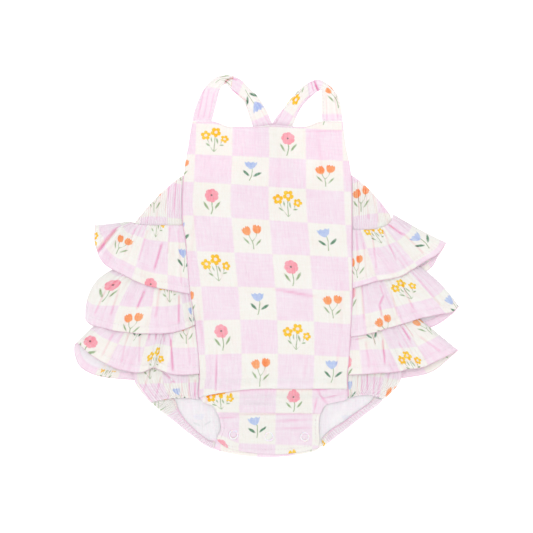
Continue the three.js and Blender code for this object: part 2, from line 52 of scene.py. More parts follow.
# Heights of each layer's middle above the surface, the same as in the solids
ON_FLOOR = CLOTH / 2
TIER_BACK_TOP = 1.8
BACK_OVER_TIERS = 3.1
SIDE_LAY = 4.4
TIER_FRONT_TOP = 5.9
TIER_FRONT_HEM = 7.3
FRONT_EDGE = 5.7
FRONT_EDGE_BY_TIERS = 6.6
FRONT_MIDDLE = 7.4
CROTCH_LAY = 3.4
CROTCH_HEM_LAY = 2.1
CASING_LAY = 2.2

# The print: one square of the check
SQUARE_WIDE = 38.5
SQUARE_HIGH = 35.0


# Helpers


def lerp(a, b, t):
    return a + (b - a) * t


def clamp01(t):
    return min(1.0, max(0.0, t))


def ease(start, end, x):
    t = clamp01((x - start) / (end - start))
    return t * t * (3 - 2 * t)


def hump(x, at, half_width):
    return math.exp(-(((x - at) / half_width) ** 2))


def table(columns, rows):
    names = columns.split()
    return [dict(zip(names, row)) for row in rows]


def along(rows, column, place):
    """A smooth curve through one column of a table; place counts rows from 0."""
    last = len(rows) - 1
    i = min(last - 1, max(0, math.floor(place)))
    t = place - i
    a = rows[max(0, i - 1)][column]
    b = rows[i][column]
    c = rows[i + 1][column]
    d = rows[min(last, i + 2)][column]
    return b + (t / 2) * (c - a + t * (2 * a - 5 * b + 4 * c - d + t * (3 * (b - c) + d - a)))


def between(rows, key, column, x):
    """Straight interpolation of a column by another column that rises or falls all the way."""
    falling = rows[0][key] > rows[-1][key]
    ordered = rows[::-1] if falling else rows
    for low, high in zip(ordered, ordered[1:]):
        if x <= high[key] or high is ordered[-1]:
            return lerp(low[column], high[column], (x - low[key]) / (high[key] - low[key]))


# Creases: listed soft troughs and ridges. Angle is the direction in degrees, height is up or down.

CREASE = "x y length width angle height"


def crease_height(creases, x, y):
    total = 0.0
    for c in creases:
        turn = math.radians(c["angle"])
        lengthwise = (x - c["x"]) * math.cos(turn) + (y - c["y"]) * math.sin(turn)
        if abs(lengthwise) > 2.2 * c["length"]:
            continue
        crosswise = (y - c["y"]) * math.cos(turn) - (x - c["x"]) * math.sin(turn)
        if abs(crosswise) > 2.6 * c["width"]:
            continue
        total += c["height"] * hump(lengthwise, 0, c["length"]) * hump(crosswise, 0, c["width"])
    return total


# Sharper creases, each from one point to another
LINE = "from_x from_y to_x to_y width height"
LINE_END = 2.5  # how softly a line ends, in its widths


def line_height(lines, x, y):
    total = 0.0
    for c in lines:
        far_x = c["to_x"] - c["from_x"]
        far_y = c["to_y"] - c["from_y"]
        length = math.hypot(far_x, far_y)
        lengthwise = ((x - c["from_x"]) * far_x + (y - c["from_y"]) * far_y) / length
        outside = max(0.0, -lengthwise, lengthwise - length)
        if outside > 2 * LINE_END * c["width"]:
            continue
        crosswise = ((y - c["from_y"]) * far_x - (x - c["from_x"]) * far_y) / length
        total += c["height"] * hump(crosswise, 0, c["width"]) * hump(outside, 0, LINE_END * c["width"])
    return total


# Front

PANEL = "left_y left_x right_y right_x sag"

FRONT_ROWS = table(PANEL, [
    (152.3, -78.5, 152.3, 79.6, 0),
    (129.7, -82.1, 129.7, 82.2, 0),
    (96, -87.2, 96, 88.2, 0),
    (50.7, -88.5, 50.7, 88.9, 0),
    (23.6, -84.8, 23.6, 88.8, 0),
    (-22.8, -81.2, -22.8, 89.5, 0),
    (-62.7, -75, -62.7, 87.9, 0),
    (-98, -71.5, -98, 85.8, 0),
    (-118, -70.7, -118, 84.2, 0),
    (-138.5, -71.4, -138.5, 84.6, 0),
    (-144.5, -64.5, -143, 73, 0),
    (-147.5, -56.5, -146.5, 61.5, 0),
    (-159.3, -50.4, -158.5, 55.4, 0),
    (-172, -48.6, -172.5, 54.5, 0),
    (-182.4, -52.5, -182, 55.4, 4),
    (-191, -43, -191.3, 54, 7),
])
# How the mesh's rows are shared out: closest at the flap above the crotch
FRONT_PACE = table("share place", [(0, 0), (0.64, 8), (0.8, 9), (1, 15)])
NECK_DIP = 6
NECK_HALF = 59  # the straps start outside this
NECK_CURVE = 22
NECK_RISE = (0.3, 8, 16)  # the neckline's middle is that share higher, where, and how widely
FRONT_ROUND = 0.6  # how soon the front rises from its side edges to its full height
FOLDS_FROM_EDGE = 0.3
TIERS_FROM_Y = (52, 42)  # the front's edges are higher beside the tiers
TIERS_TO_Y = (-116, -106)
CROTCH_SLOPE_Y = (-172, -192)
CROTCH_FOLDS_Y = (-140, -150)

FRONT_FOLDS = table(CREASE, [
    (-52, -105, 30, 5, 88, 1.4),
    (30, -27, 24, 5, -11, -1.1),
    (-45, 60, 50, 22, 80, 0.9),
    (30, 80, 60, 25, 95, -0.8),
    (10, 20, 70, 14, 4, 0.7),
    (55, -70, 45, 16, 75, 0.9),
    (-20, -75, 50, 18, 20, -0.7),
    (-34, -162, 10, 3.5, 40, 0.5),
    (38, -162, 14, 3.5, -25, 0.5),
])
# Fine creases that lie only in the dressed cloth
FRONT_CREASES = table(CREASE, [
    (-53.3, -112, 18, 1.2, 88, -1.6),
    (29, -28, 20, 1.2, -10.4, -1.3),
    (62, 142, 22, 1.1, 2, -0.5),
    (4, -155.5, 50, 1.3, 0, -0.9),
    (-40, -159, 12, 1.3, 3, -0.9),
    (28, -162, 18, 1.3, 3, -0.8),
    (28, -170.5, 17, 1.2, 2, -0.7),
    (-62, -140, 8, 1.6, 55, -0.8),
    (58, -138, 9, 1.4, -50, -1.0),
    (51, -146, 7, 1.3, 78, -0.9),
    (68, -137, 9, 1.4, 12, -0.9),
    (-70, -60, 28, 2.2, 97, -0.35),
    (74, -100, 22, 2, 84, -0.4),
    (78, -40, 26, 2.4, 88, -0.3),
    (-78, 30, 30, 2.4, 84, -0.3),
    (-30, 118, 26, 3, 84, 0.3),
    (56, 118, 30, 2.6, 97, -0.3),
    (12, 92, 32, 3, 88, -0.25),
    (-2, -112, 20, 2.2, 94, -0.3),
    (40, -108, 18, 2, 82, -0.25),
    (10, 66, 40, 3, 4, 0.25),
    (-50, 2, 24, 2.6, 100, -0.25),
])
NECK_SEAM_IN = 2.6  # the groove along the neckline's turned edge
NECK_SEAM_WIDE = 0.8
NECK_SEAM_DEEP = 0.35

# The front sags over itself in a flap above the crotch
FLAP_Y = -128.3
FLAP_DROOP_LEFT = 7  # the flap's ends lie this much lower
FLAP_DROOP_RIGHT = 0.5
FLAP_HALF = 60
FLAP_REACH = 6
FLAP_OVERLAP = 0.25
FLAP_OVERLAP_X = (64, 42)
FLAP_SOFT_X = (40, 66)  # towards its ends it turns into a softer slope
FLAP_SOFT = 2.3
FLAP_FREE_OF_CREASES = 0.3  # the fine creases stop this near the fold, counted in its reaches
PAINTED_FLAP_SHADOW = 5.5  # painted shadow under the fold, given as how deep a trough would be; it only darkens the colour
PAINTED_FLAP_SHADOW_AT = -0.42  # where it runs and how wide it is, counted in the fold's reaches
PAINTED_FLAP_SHADOW_WIDE = 0.2
PAINTED_FLAP_SHADOW_ENDS_X = (70, 50)


def panel_point(rows, across, place):
    left_x = along(rows, "left_x", place)
    right_x = along(rows, "right_x", place)
    left_y = along(rows, "left_y", place)
    right_y = along(rows, "right_y", place)
    belly = 4 * across * (1 - across)
    return lerp(left_x, right_x, across), lerp(left_y, right_y, across) - along(rows, "sag", place) * belly


def front_flat(across, place):
    """A point of the front before its flap is folded: x, y, and how far it is below the neckline."""
    x, y = panel_point(FRONT_ROWS, across, place)
    rise = 1 - NECK_RISE[0] * hump(x, NECK_RISE[1], NECK_RISE[2])
    neck = NECK_DIP * ease(NECK_HALF, NECK_HALF - NECK_CURVE, abs(x)) * rise
    return x, y - neck * ease(1, 0, place)


def front_middle(across, place):
    x, flat_y = front_flat(across, place)
    y = flat_y
    belly = 4 * across * (1 - across)
    by_tiers = ease(*TIERS_FROM_Y, y) * ease(*TIERS_TO_Y, y)
    edge = lerp(FRONT_EDGE, FRONT_EDGE_BY_TIERS, by_tiers)
    folds = crease_height(FRONT_FOLDS, x, y)
    fine = crease_height(FRONT_CREASES, x, y)
    upper = lerp(edge, FRONT_MIDDLE, ease(0, FRONT_ROUND, belly)) + folds * ease(0, FOLDS_FROM_EDGE, belly)
    below_neck = place * (FRONT_ROWS[0]["left_y"] - FRONT_ROWS[1]["left_y"])
    upper -= NECK_SEAM_DEEP * hump(below_neck, NECK_SEAM_IN, NECK_SEAM_WIDE)
    crotch = lerp(CROTCH_LAY, CROTCH_HEM_LAY, ease(*CROTCH_SLOPE_Y, y))
    lower = crotch + folds * ease(*CROTCH_FOLDS_Y, y)
    droop = FLAP_DROOP_LEFT if x < 0 else FLAP_DROOP_RIGHT
    flap_line = FLAP_Y - droop * (x / FLAP_HALF) ** 2
    t = (y - flap_line) / FLAP_REACH
    soft = lerp(1, FLAP_SOFT, ease(*FLAP_SOFT_X, abs(x)))
    z = lerp(upper, lower, 0.5 - 0.5 * math.sin(math.pi / 2 * max(-1, min(1, t / soft))))
    z += fine * ease(FLAP_FREE_OF_CREASES, 1, abs(t))
    if abs(t) < 1:
        overlap = FLAP_OVERLAP * ease(*FLAP_OVERLAP_X, abs(x))
        y = flap_line + FLAP_REACH * (t ** 3 - overlap * t) / (1 - overlap)
    return x, y, z


# Where the front's side edges run; the pieces sewn to them start a seam's gap beside them
SEAM = 0.4
FRONT_EDGE_STEPS = 8


def front_edge(side):
    places = [k / FRONT_EDGE_STEPS for k in range((len(FRONT_ROWS) - 1) * FRONT_EDGE_STEPS + 1)]
    return [{"y": along(FRONT_ROWS, side + "_y", p), "x": along(FRONT_ROWS, side + "_x", p)} for p in places]


LEFT_EDGE = front_edge("left")
RIGHT_EDGE = front_edge("right")


def seam_x(on_left, y):
    return between(LEFT_EDGE, "y", "x", y) - SEAM if on_left else between(RIGHT_EDGE, "y", "x", y) + SEAM


# Where the print's lines run on the front: heights of the lines between rows at the two sides, and the
# first and the fifth upright line at a few heights
FRONT_PRINT_ROWS = table("row left_y right_y", [
    (0, 184, 177),
    (1, 149.9, 142.5),
    (2, 117.3, 110.5),
    (3, 88.5, 78.5),
    (4, 53.3, 43.3),
    (5, 16, 9.7),
    (6, -21.3, -26),
    (7, -57, -60.6),
    (8, -93.2, -95.3),
    (9, -128.8, -128.3),
    (9.15, -132.3, -131.5),
    (9.27, -135.6, -134.3),
    (9.36, -139, -136.4),
    (10, -153.2, -155.8),
    (11, -184.5, -190),
    (12, -201, -290),
])
FRONT_PRINT_COLUMNS = table("y first fifth", [
    (160, -74, 78.5),
    (129.4, -74.6, 79.2),
    (64.3, -78.1, 81.1),
    (17.1, -74, 84.6),
    (-35.4, -67.8, 87.2),
    (-77.4, -65.4, 88.2),
    (-114.2, -64, 87.2),
    (-136.2, -67.2, 86.1),
    (-200, -68.3, 86.1),
])
FRONT_LEFT_NARROWER = 1.3  # the squares cut by the front's left edge are drawn in by that seam
PRINT_LEFT_X = -74  # the lines between rows run straight from here over the print's width
PRINT_WIDE = 156
PRINT_BULGE = 2.5  # they are this much higher in the middle of the body than at its sides
PRINT_BULGE_FROM_Y = (20, -60)
PRINT_BULGE_TO_Y = (-120, -100)
CORNER_DRAWN_UP = 8  # how far the print runs up at the front's lower left corner
CORNER_X = (-28, -52)
CORNER_Y = (-165, -180)


def front_print(across, place):
    x, y = front_flat(across, place)
    first = between(FRONT_PRINT_COLUMNS, "y", "first", y)
    fifth = between(FRONT_PRINT_COLUMNS, "y", "fifth", y)
    column = 1 + 4 * (x - first) / (fifth - first) * (1 if x > first else FRONT_LEFT_NARROWER)
    sideways = clamp01((x - PRINT_LEFT_X) / PRINT_WIDE)
    bulge = PRINT_BULGE * 4 * sideways * (1 - sideways)
    bulge *= ease(*PRINT_BULGE_FROM_Y, y) * ease(*PRINT_BULGE_TO_Y, y)
    lines = [
        {"y": lerp(line["left_y"], line["right_y"], sideways) + bulge, "row": line["row"]}
        for line in FRONT_PRINT_ROWS
    ]
    drawn_up = CORNER_DRAWN_UP * ease(*CORNER_X, x) * ease(*CORNER_Y, y)
    return column, between(lines, "y", "row", y - drawn_up)


# Back: flat on the surface, lifted where the ruffles pass under it

BACK_ROWS = table(PANEL, [
    (92.5, -88, 92.5, 88.5, 0),
    (78, -106, 78, 106, 0),
    (62, -124, 62, 120, 0),
    (48, -136, 50, 130, 0),
    (20, -140, 20, 137, 0),
    (-25, -142, -25, 141, 0),
    (-70, -142.5, -70, 142, 0),
    (-108, -139.5, -108, 139.5, 0),
    (-124, -138, -123, 138.5, 0),
    (-143.5, -121.5, -140, 122, 0),
    (-156, -106, -154, 104.5, 0),
    (-172, -86, -170, 84.5, 0),
    (-187.5, -65.5, -183, 67, 3),
    (-195, -50, -195, 51, 6.3),
])
BACK_PEAK_Y = (63, 51)
BACK_FOOT_Y = (-125, -137)
# Soft puckers that show through the leg openings
BACK_CREASES = table(CREASE, [
    (-80, -150, 26, 2.2, 100, 0.5),
    (-72, -155, 24, 2, 104, 0.45),
    (-64, -158, 22, 2.2, 98, 0.5),
    (-88, -146, 18, 2, 108, 0.4),
    (-56, -165, 18, 1.8, 92, 0.35),
    (64, -150, 20, 2, 84, 0.45),
    (71, -147, 20, 1.8, 80, 0.5),
    (79, -143, 18, 2, 76, 0.45),
    (87, -140, 16, 1.8, 70, 0.4),
    (95, -138, 14, 1.8, 64, 0.35),
])


def back_middle(across, place):
    x, y = panel_point(BACK_ROWS, across, place)
    lift = ease(*BACK_PEAK_Y, y) * ease(BACK_FOOT_Y[1], BACK_FOOT_Y[0], y)
    return x, y, lerp(ON_FLOOR, BACK_OVER_TIERS, lift) + crease_height(BACK_CREASES, x, y)


BACK_SHOWS_PRINT = (12.0, 12.2)  # from this row on its printed side is up, at the turned edge
BACK_SHOWS_PRINT_LEFT = (11.5, 11.7)  # and from this row by the left leg
BACK_LEFT_FROM = (0.08, 0.12)
BACK_LEFT_TO = (0.3, 0.2)
BACK_PRINT_ROWS = table("y row", [(92, 3), (-152, 10), (-177, 11), (-187, 11.88), (-202, 11.98)])
BACK_PRINT_COLUMN = 4.27  # the print's column in the middle of the back


def back_print(across, place):
    x, y = panel_point(BACK_ROWS, across, place)
    return BACK_PRINT_COLUMN + x / SQUARE_WIDE, between(BACK_PRINT_ROWS, "y", "row", y)


# Sides: gathered under the arm and above the leg

SIDE = "inner_y outer_y outer_x bow inner_column outer_column inner_row outer_row"
SIDES = {
    "side_left": table(SIDE, [
        (96, 46.5, -138.5, 4, 1.6, -0.18, 1.7, 3.09),
        (60, 22, -140.5, 2, 1.56, -0.25, 2.71, 3.77),
        (0, -25, -142.5, 0, 1.55, -0.6, 4.4, 5.1),
        (-62, -70, -143, 0, 1.5, -1.1, 6.1, 6.4),
        (-104, -100, -141, 0, 1.45, -1.2, 7.45, 7.3),
        (-122, -122, -138.5, 0, 1.43, -1.1, 8.0, 7.94),
        (-140, -143.6, -122.5, 3, 1.4, -1, 8.52, 8.6),
    ]),
    "side_right": table(SIDE, [
        (96, 54, 129.5, 4, 0.25, 1.39, 1.72, 3.04),
        (60, 22, 137, 2, 0.26, 1.56, 2.77, 3.88),
        (0, -25, 141.5, 0, 0.3, 1.8, 4.4, 5.3),
        (-62, -70, 142.5, 0, 0.33, 2.2, 6.1, 6.4),
        (-104, -100, 141, 0, 0.38, 2.5, 7.7, 7.6),
        (-121, -121, 140, 0, 0.4, 2.75, 8.2, 8.02),
        (-139, -140, 123, 4, 0.4, 2.25, 8.7, 8.42),
    ]),
}
GATHERS = 9
ARM_GATHER = 0.9
ARM_GATHER_Y = (50, 62)  # the gathers under the arm die out on the way down to the first tier
LEG_GATHER = 1.0
LEG_GATHER_ROWS = (4.2, 5.2)
LEG_DROP = 0.6  # the side lies lower at the leg edge
LEG_DROP_ROWS = (5, 6)
GATHER_FROM_SEAM = 0.06
SIDE_SEAM_END_Y = -138
# Gathers are unevenly high and unevenly spaced. The turns are radians across the whole side.
UNEVEN_HEIGHT = {"share": 0.25, "turn": 7, "from": 1}
UNEVEN_PLACE = {"by": 1.3, "turn": 9}
# Finer gathers, and where they begin under the arm and above the leg
FINE_GATHERS = 23
FINE_GATHER = 0.3
UNEVEN_FINE = {"by": 2, "turn": 11}
FINE_ARM_Y = (30, 60)
FINE_LEG_ROWS = (4.4, 5.4)
SIDE_LINES = table(LINE, [
    (-112, -108, -99, -120.5, 1.3, -1.2),
    (-75.1, -121, -75.4, -134, 1.1, -1.1),
    (-81.9, -120, -82.2, -139, 1.2, -0.8),
    (-89, -122, -90, -137, 1.1, -0.6),
    (-101, -121, -104, -138, 1.2, -0.7),
    (-112, -118, -116, -134, 1.3, -0.8),
    (-124, -112, -129, -128, 1.4, -0.7),
    (105.4, -114, 105.6, -128, 1.2, -1.2),
    (95.5, -117, 95.3, -138, 1.1, -0.8),
    (99.6, -117, 100, -136, 1.1, -0.6),
    (113, -114, 112, -132, 1.2, -0.8),
    (120, -112, 117, -133, 1.3, -0.7),
    (129, -108, 126, -126, 1.3, -0.7),
    (-95, 92, -98, 60, 1.3, -0.8),
    (-103, 84, -107, 58, 1.2, -0.7),
    (-112, 74, -116, 52, 1.3, -0.8),
    (-122, 62, -126, 48, 1.2, -0.6),
    (95, 92, 97, 56, 1.3, -0.8),
    (103, 85, 107, 52, 1.2, -0.9),
    (112, 74, 117, 48, 1.3, -0.8),
    (121, 63, 127, 46, 1.2, -0.7),
])


def gather_height(outward):
    share = UNEVEN_HEIGHT["share"]
    uneven = 1 - share + share * math.sin(UNEVEN_HEIGHT["turn"] * outward + UNEVEN_HEIGHT["from"])
    shift = UNEVEN_PLACE["by"] * math.sin(UNEVEN_PLACE["turn"] * outward)
    return uneven * (0.5 + 0.5 * math.sin(2 * math.pi * GATHERS * outward + shift))


def side_middle(name, outward, place):
    rows = SIDES[name]
    belly = 4 * outward * (1 - outward)
    inner_y = along(rows, "inner_y", place)
    inner_x = seam_x(name == "side_left", max(inner_y, SIDE_SEAM_END_Y))
    x = lerp(inner_x, along(rows, "outer_x", place), outward)
    straight_y = lerp(inner_y, along(rows, "outer_y", place), outward)
    y = straight_y + along(rows, "bow", place) * belly
    arm = ARM_GATHER * ease(*ARM_GATHER_Y, y)
    leg = LEG_GATHER * ease(*LEG_GATHER_ROWS, place)
    drop = LEG_DROP * ease(*LEG_DROP_ROWS, place)
    shift = UNEVEN_FINE["by"] * math.sin(UNEVEN_FINE["turn"] * outward + place)
    fine = FINE_GATHER * math.sin(2 * math.pi * FINE_GATHERS * outward + shift)
    fine *= ease(*FINE_ARM_Y, y) + ease(*FINE_LEG_ROWS, place)
    fine += line_height(SIDE_LINES, x, y)
    seamward = ease(0, GATHER_FROM_SEAM, outward)
    return x, y, SIDE_LAY - drop + ((arm + leg) * gather_height(outward) + fine) * seamward


def side_print(name, outward, place):
    rows = SIDES[name]
    column = lerp(along(rows, "inner_column", place), along(rows, "outer_column", place), outward)
    row = lerp(along(rows, "inner_row", place), along(rows, "outer_row", place), outward)
    return column, row


# Ruffle tiers: a row is one place along the strip, from the front's left seam round the left side, behind the
# back and round the right side to the front's right seam. Layer is 1 in front, 0 at a side fold, -1 behind.

TIER = "top_x top_y hem_x hem_y bow layer"
TIERS = {
    "tier_1": table(TIER, [
        (-88.3, 43, -81.5, -28.9, 0, 1),
        (-104, 43, -104, -24.5, 0, 1),
        (-120, 43, -128.5, -19.3, 0, 1),
        (-131, 43.5, -155, -6.5, 1, 1),
        (-138.5, 44.5, -171.5, 4, 2, 1),
        (-142, 46, -180, 23, 2, 1),
        (-143.5, 47, -180.5, 43, 0, 0),
        (-142, 46.5, -178.5, 24, 0, -1),
        (-137, 46, -164, -2, 0, -1),
        (-110, 46, -112, -18, 0, -1),
        (-55, 46, -55, -20, 0, -1),
        (0, 46, 0, -20, 0, -1),
        (55, 46, 55, -20, 0, -1),
        (105, 46, 112, -19, 0, -1),
        (130, 47, 166, -6, 0, -1),
        (133.5, 51, 181, 12, 0, -0.9),
        (132.5, 55, 188.3, 25, 1, 0),
        (132, 51, 180, 14, 0, 0.9),
        (127, 44, 164.5, 4.5, 0, 1),
        (118, 40, 151, -4, 0, 1),
        (108, 38.5, 138, -11, 0, 1),
        (98, 38.5, 115, -15.5, 0, 1),
        (89.6, 38.5, 90.2, -23, 0, 1),
    ]),
    "tier_2": table(TIER, [
        (-83.7, -6, -74, -61, 2, 1),
        (-93, -6, -84, -65, 0, 1),
        (-104, -6, -101, -69.6, 0, 1),
        (-118, -6, -128, -70.5, 0, 1),
        (-131, -6, -152, -68.6, 2, 1),
        (-139, -5, -171, -65, 6, 1),
        (-145, -3, -186, -60.5, 11, 1),
        (-147, 1, -191, -54, 15, 0),
        (-145, -3, -184, -61, 11, -0.9),
        (-137, -6, -162, -67, 4, -1),
        (-112, -6, -114, -68, 0, -1),
        (-55, -6, -55, -68, 0, -1),
        (0, -6, 0, -68, 0, -1),
        (55, -6, 55, -68, 0, -1),
        (112, -7, 114, -68, 0, -1),
        (138, -5, 160, -66, 0, -1),
        (146, -2, 178, -62, 0, -1),
        (149, 2, 194, -51, 0, -0.9),
        (151, 6, 201.6, -42, -4, 0),
        (147, 2, 194, -48, -2, 0.9),
        (140, -4, 180, -50.5, 0, 1),
        (131, -7, 160.3, -54.5, 0, 1),
        (121, -8, 141.8, -60.4, 0, 1),
        (110, -8, 126, -65, 0, 1),
        (99, -8, 108, -70.5, 0, 1),
        (90.2, -8, 88.4, -73.9, 0, 1),
    ]),
    "tier_3": table(TIER, [
        (-77.8, -48, -71.8, -112.5, 0, 1),
        (-89, -48, -96, -113.5, 0, 1),
        (-99, -48, -114, -108, 0, 1),
        (-108, -48, -120, -106, 0, 1),
        (-118, -48, -131, -111, 0, 1),
        (-128, -48, -149, -109.4, 0, 1),
        (-137, -48, -168, -102.6, 1, 1),
        (-143, -47, -186.5, -91.5, 2, 1),
        (-147, -45, -197, -82, 3, 0.8),
        (-149, -43, -202, -83, 4, 0),
        (-148, -45, -202, -94, 3, -0.8),
        (-145, -47, -196, -106.5, 0, -1),
        (-137, -48, -178, -115.5, 0, -1),
        (-120, -48, -150, -119, 0, -1),
        (-98, -48, -110, -121, 0, -1),
        (-50, -48, -50, -121, 0, -1),
        (0, -48, 0, -121, 0, -1),
        (50, -50, 50, -121, 0, -1),
        (100, -50, 110, -120.5, 0, -1),
        (123, -50, 148, -117, 0, -1),
        (138, -50, 174, -111, 0, -1),
        (147, -47, 194, -95, 0, -0.9),
        (149, -46, 200.6, -88, 0, 0),
        (147, -46.5, 194.5, -91, 0, 0.9),
        (139, -50, 173, -101.6, 0, 1),
        (130, -50, 160, -106.5, 0, 1),
        (120, -50, 147.8, -107.8, 0, 1),
        (109, -50, 136, -110.7, 0, 1),
        (98, -50, 117, -111.8, 0, 1),
        (89.2, -50, 85.7, -114, 0, 1),
    ]),
}
SEAM_ROWS = 1
TIER_WAVES_FROM = 0.3
TIER_RISE = (0.42, 0.66)
IN_FRONT = (0.7, 1)  # only a tier's front layer has the listed creases, and its hem's step
HEM_DEEP = 8.0
HEM_SEAM = 7.0
HEM_LIFT = 0.45
HEM_STEP = (HEM_DEEP + 0.5, HEM_DEEP - 0.7)  # where the turned hem rises, counted from the hem's edge
HEM_SHOWS_PRINT = (HEM_DEEP + 0.6, HEM_DEEP - 0.4)  # and where the print is seen on its wrong side too

WAVE = "at half_width height"
TIER_WAVES = {
    "tier_1": table(WAVE, [
        (0.5, 0.3, 1.8),
        (1.5, 0.35, 2.4),
        (2.4, 0.3, 2),
        (3.3, 0.35, 3),
        (4.3, 0.3, 2.2),
        (18.6, 0.3, 2.6),
        (19.6, 0.35, 2),
        (20.6, 0.3, 2.8),
        (21.5, 0.3, 1.8),
    ]),
    "tier_2": table(WAVE, [
        (0.25, 0.3, 2.6),
        (1.3, 0.3, 1.6),
        (2.3, 0.35, 2.4),
        (3.3, 0.35, 2),
        (4.4, 0.35, 2.6),
        (20.6, 0.3, 2.2),
        (21.6, 0.35, 2.6),
        (22.6, 0.3, 2),
        (23.6, 0.3, 2.6),
        (24.5, 0.3, 1.6),
    ]),
    "tier_3": table(WAVE, [
        (0.5, 0.3, 2.2),
        (1.5, 0.3, 2),
        (3, 0.4, 4),
        (4.4, 0.35, 2.4),
        (5.6, 0.35, 2.8),
        (24.5, 0.35, 2.4),
        (25.5, 0.3, 2.8),
        (26.6, 0.3, 2.2),
        (27.6, 0.3, 2.6),
        (28.4, 0.3, 1.6),
    ]),
}

TIER_LINES = {
    "tier_1": table(LINE, [
        (-161, 36, -175, 18.5, 2.6, -3),
        (-157.5, 34.5, -171.5, 16, 2.2, 1.6),
        (-111.6, 20, -117.1, 0.3, 1.5, -1.7),
        (-93, 36, -90, -15, 1.3, -0.6),
        (-126, 36, -134, 8, 1.3, -0.7),
        (-139, 38, -149, 14, 1.3, -0.6),
        (-102, 39, -104, 16, 1.1, -0.5),
        (129.7, 42.3, 140, 35, 1.5, -1.5),
        (110.3, 36, 114.5, 0, 1.2, -0.7),
        (94.5, 36, 95.6, -4, 1.2, -0.6),
        (122.9, 36, 134.4, 8, 1.3, -0.8),
        (144.9, 33, 162, 16, 1.3, -0.7),
        (101.5, 22, 104, -12, 1.1, -0.5),
    ]),
    "tier_2": table(LINE, [
        (-130, -29, -135.5, -42, 1.4, -1.9),
        (-92.4, -33, -92.4, -56.4, 1.3, -1.6),
        (-154.4, -19.7, -162.8, -48, 1.3, -0.7),
        (-112.4, -16.5, -116.6, -51.2, 1.2, -0.7),
        (-170, -26, -180, -48, 1.3, -0.7),
        (-102, -18, -104, -34, 1.1, -0.5),
        (-82, -30, -79, -54, 1.1, -0.5),
        (119.3, -22, 121, -27, 1.3, -0.9),
        (121.5, -33, 119.2, -38, 1.3, -1.3),
        (118.9, -44, 120.2, -50, 1.3, -1.5),
        (99.8, -19.7, 101.9, -53, 1.2, -0.7),
        (141.8, -18.6, 152.3, -41.7, 1.3, -0.8),
        (160.7, -16, 180, -38.6, 1.3, -0.7),
        (131, -28, 136, -50, 1.1, -0.5),
    ]),
    "tier_3": table(LINE, [
        (-100.8, -80, -99, -105.8, 1.4, -2),
        (-122.9, -65.9, -123.9, -74.3, 1.0, -0.9),
        (-116.6, -65.9, -116.6, -75.4, 1.0, -0.9),
        (-109.2, -66.9, -108.2, -76.4, 1.0, -0.9),
        (-104, -68, -102, -75.4, 1.0, -0.7),
        (-146, -72.2, -152.3, -98, 1.3, -0.7),
        (-162.8, -73.2, -172, -92, 1.3, -0.7),
        (-84, -69, -80.9, -100.5, 1.2, -0.6),
        (-133.4, -73.2, -134, -98.4, 1.2, -0.6),
        (140.7, -61.7, 149.1, -74.9, 1.3, -1.7),
        (144.6, -60.6, 152.9, -72.2, 0.9, -1.0),
        (121.7, -80, 123.3, -99, 1.3, -1.8),
        (95, -76.3, 100.9, -75.2, 1.0, -0.8),
        (104, -82.7, 107.1, -104.7, 1.2, -0.7),
        (139.7, -82.7, 150.2, -98, 1.3, -0.7),
        (162.8, -75.4, 180, -88, 1.3, -0.7),
        (111, -64, 113, -80, 1.1, -0.6),
    ]),
}
TIER_RIPPLES = 1.9  # fine ripples for each row of a tier's table
TIER_RIPPLE = 0.3
TIER_RIPPLE_LOSS = 0.5  # the share of that height that is lost at the hem
UNEVEN_RIPPLE = {"by": 0.35, "turn": 2.3}

# Where the print's upright lines cross each strip, how much further along they are at the hem, and the rows
# at its top and its hem
TIER_PRINT = {
    "tier_1": table("place column lean top_row hem_row", [
        (0, 2.69, 0, 1.5, 3.44),
        (1, 2, 0, 1.5, 3.44),
        (2.45, 1, 0, 1.54, 3.44),
        (5.05, 0.14, -0.35, 1.59, 3.44),
        (5.45, -0.2, -0.35, 1.5, 3.24),
        (6, -0.75, -0.3, 1.45, 3.18),
        (16, -13.1, 0, 1.31, 3.17),
        (18.5, -14, 0, 1.31, 3.17),
        (20.95, -15, 0, 1.31, 3.17),
        (22, -15.66, 0, 1.31, 3.17),
    ]),
    "tier_2": table("place column lean top_row hem_row", [
        (0, 2.75, 0, 0.96, 2.81),
        (1.1, 2, 0, 0.96, 2.81),
        (2.85, 1, 0, 0.96, 2.81),
        (4.5, 0, 0, 0.88, 2.74),
        (5.45, -0.5, 0, 0.72, 2.56),
        (7, -1, 0, 0.52, 2.38),
        (15.2, -12, 0, 0.7, 2.5),
        (18, -13.2, 0, 0.82, 2.6),
        (19.5, -14, 0, 0.82, 2.6),
        (22.05, -15, 0, 0.82, 2.6),
        (24.15, -16, 0, 0.82, 2.6),
        (25, -16.45, 0, 0.82, 2.6),
    ]),
    "tier_3": table("place column lean top_row hem_row", [
        (0, 2.9, 0, -0.08, 1.8),
        (1.45, 2, 0, -0.08, 1.8),
        (4.2, 1, 0, -0.08, 1.8),
        (5.95, 0, 0, -0.15, 1.72),
        (9, -1.05, 0, -0.32, 1.55),
        (11.85, -2, 0, -0.3, 1.68),
        (12.75, -3, 0, -0.3, 1.68),
        (14, -3.9, 0, -0.3, 1.58),
        (18.8, -11, 0, 0, 1.85),
        (19.75, -12, 0, 0.1, 1.95),
        (21.2, -12.7, 0, 0.1, 1.95),
        (22, -13.05, 0, -0.15, 1.67),
        (24.25, -14, 0, -0.15, 1.67),
        (26.75, -15, 0, -0.13, 1.7),
        (28.5, -16, 0, -0.09, 1.73),
        (29, -16.4, 0, -0.09, 1.73),
    ]),
}


def tier_length(name, place):
    rows = TIERS[name]
    across = along(rows, "hem_x", place) - along(rows, "top_x", place)
    return math.hypot(across, along(rows, "hem_y", place) - along(rows, "top_y", place))


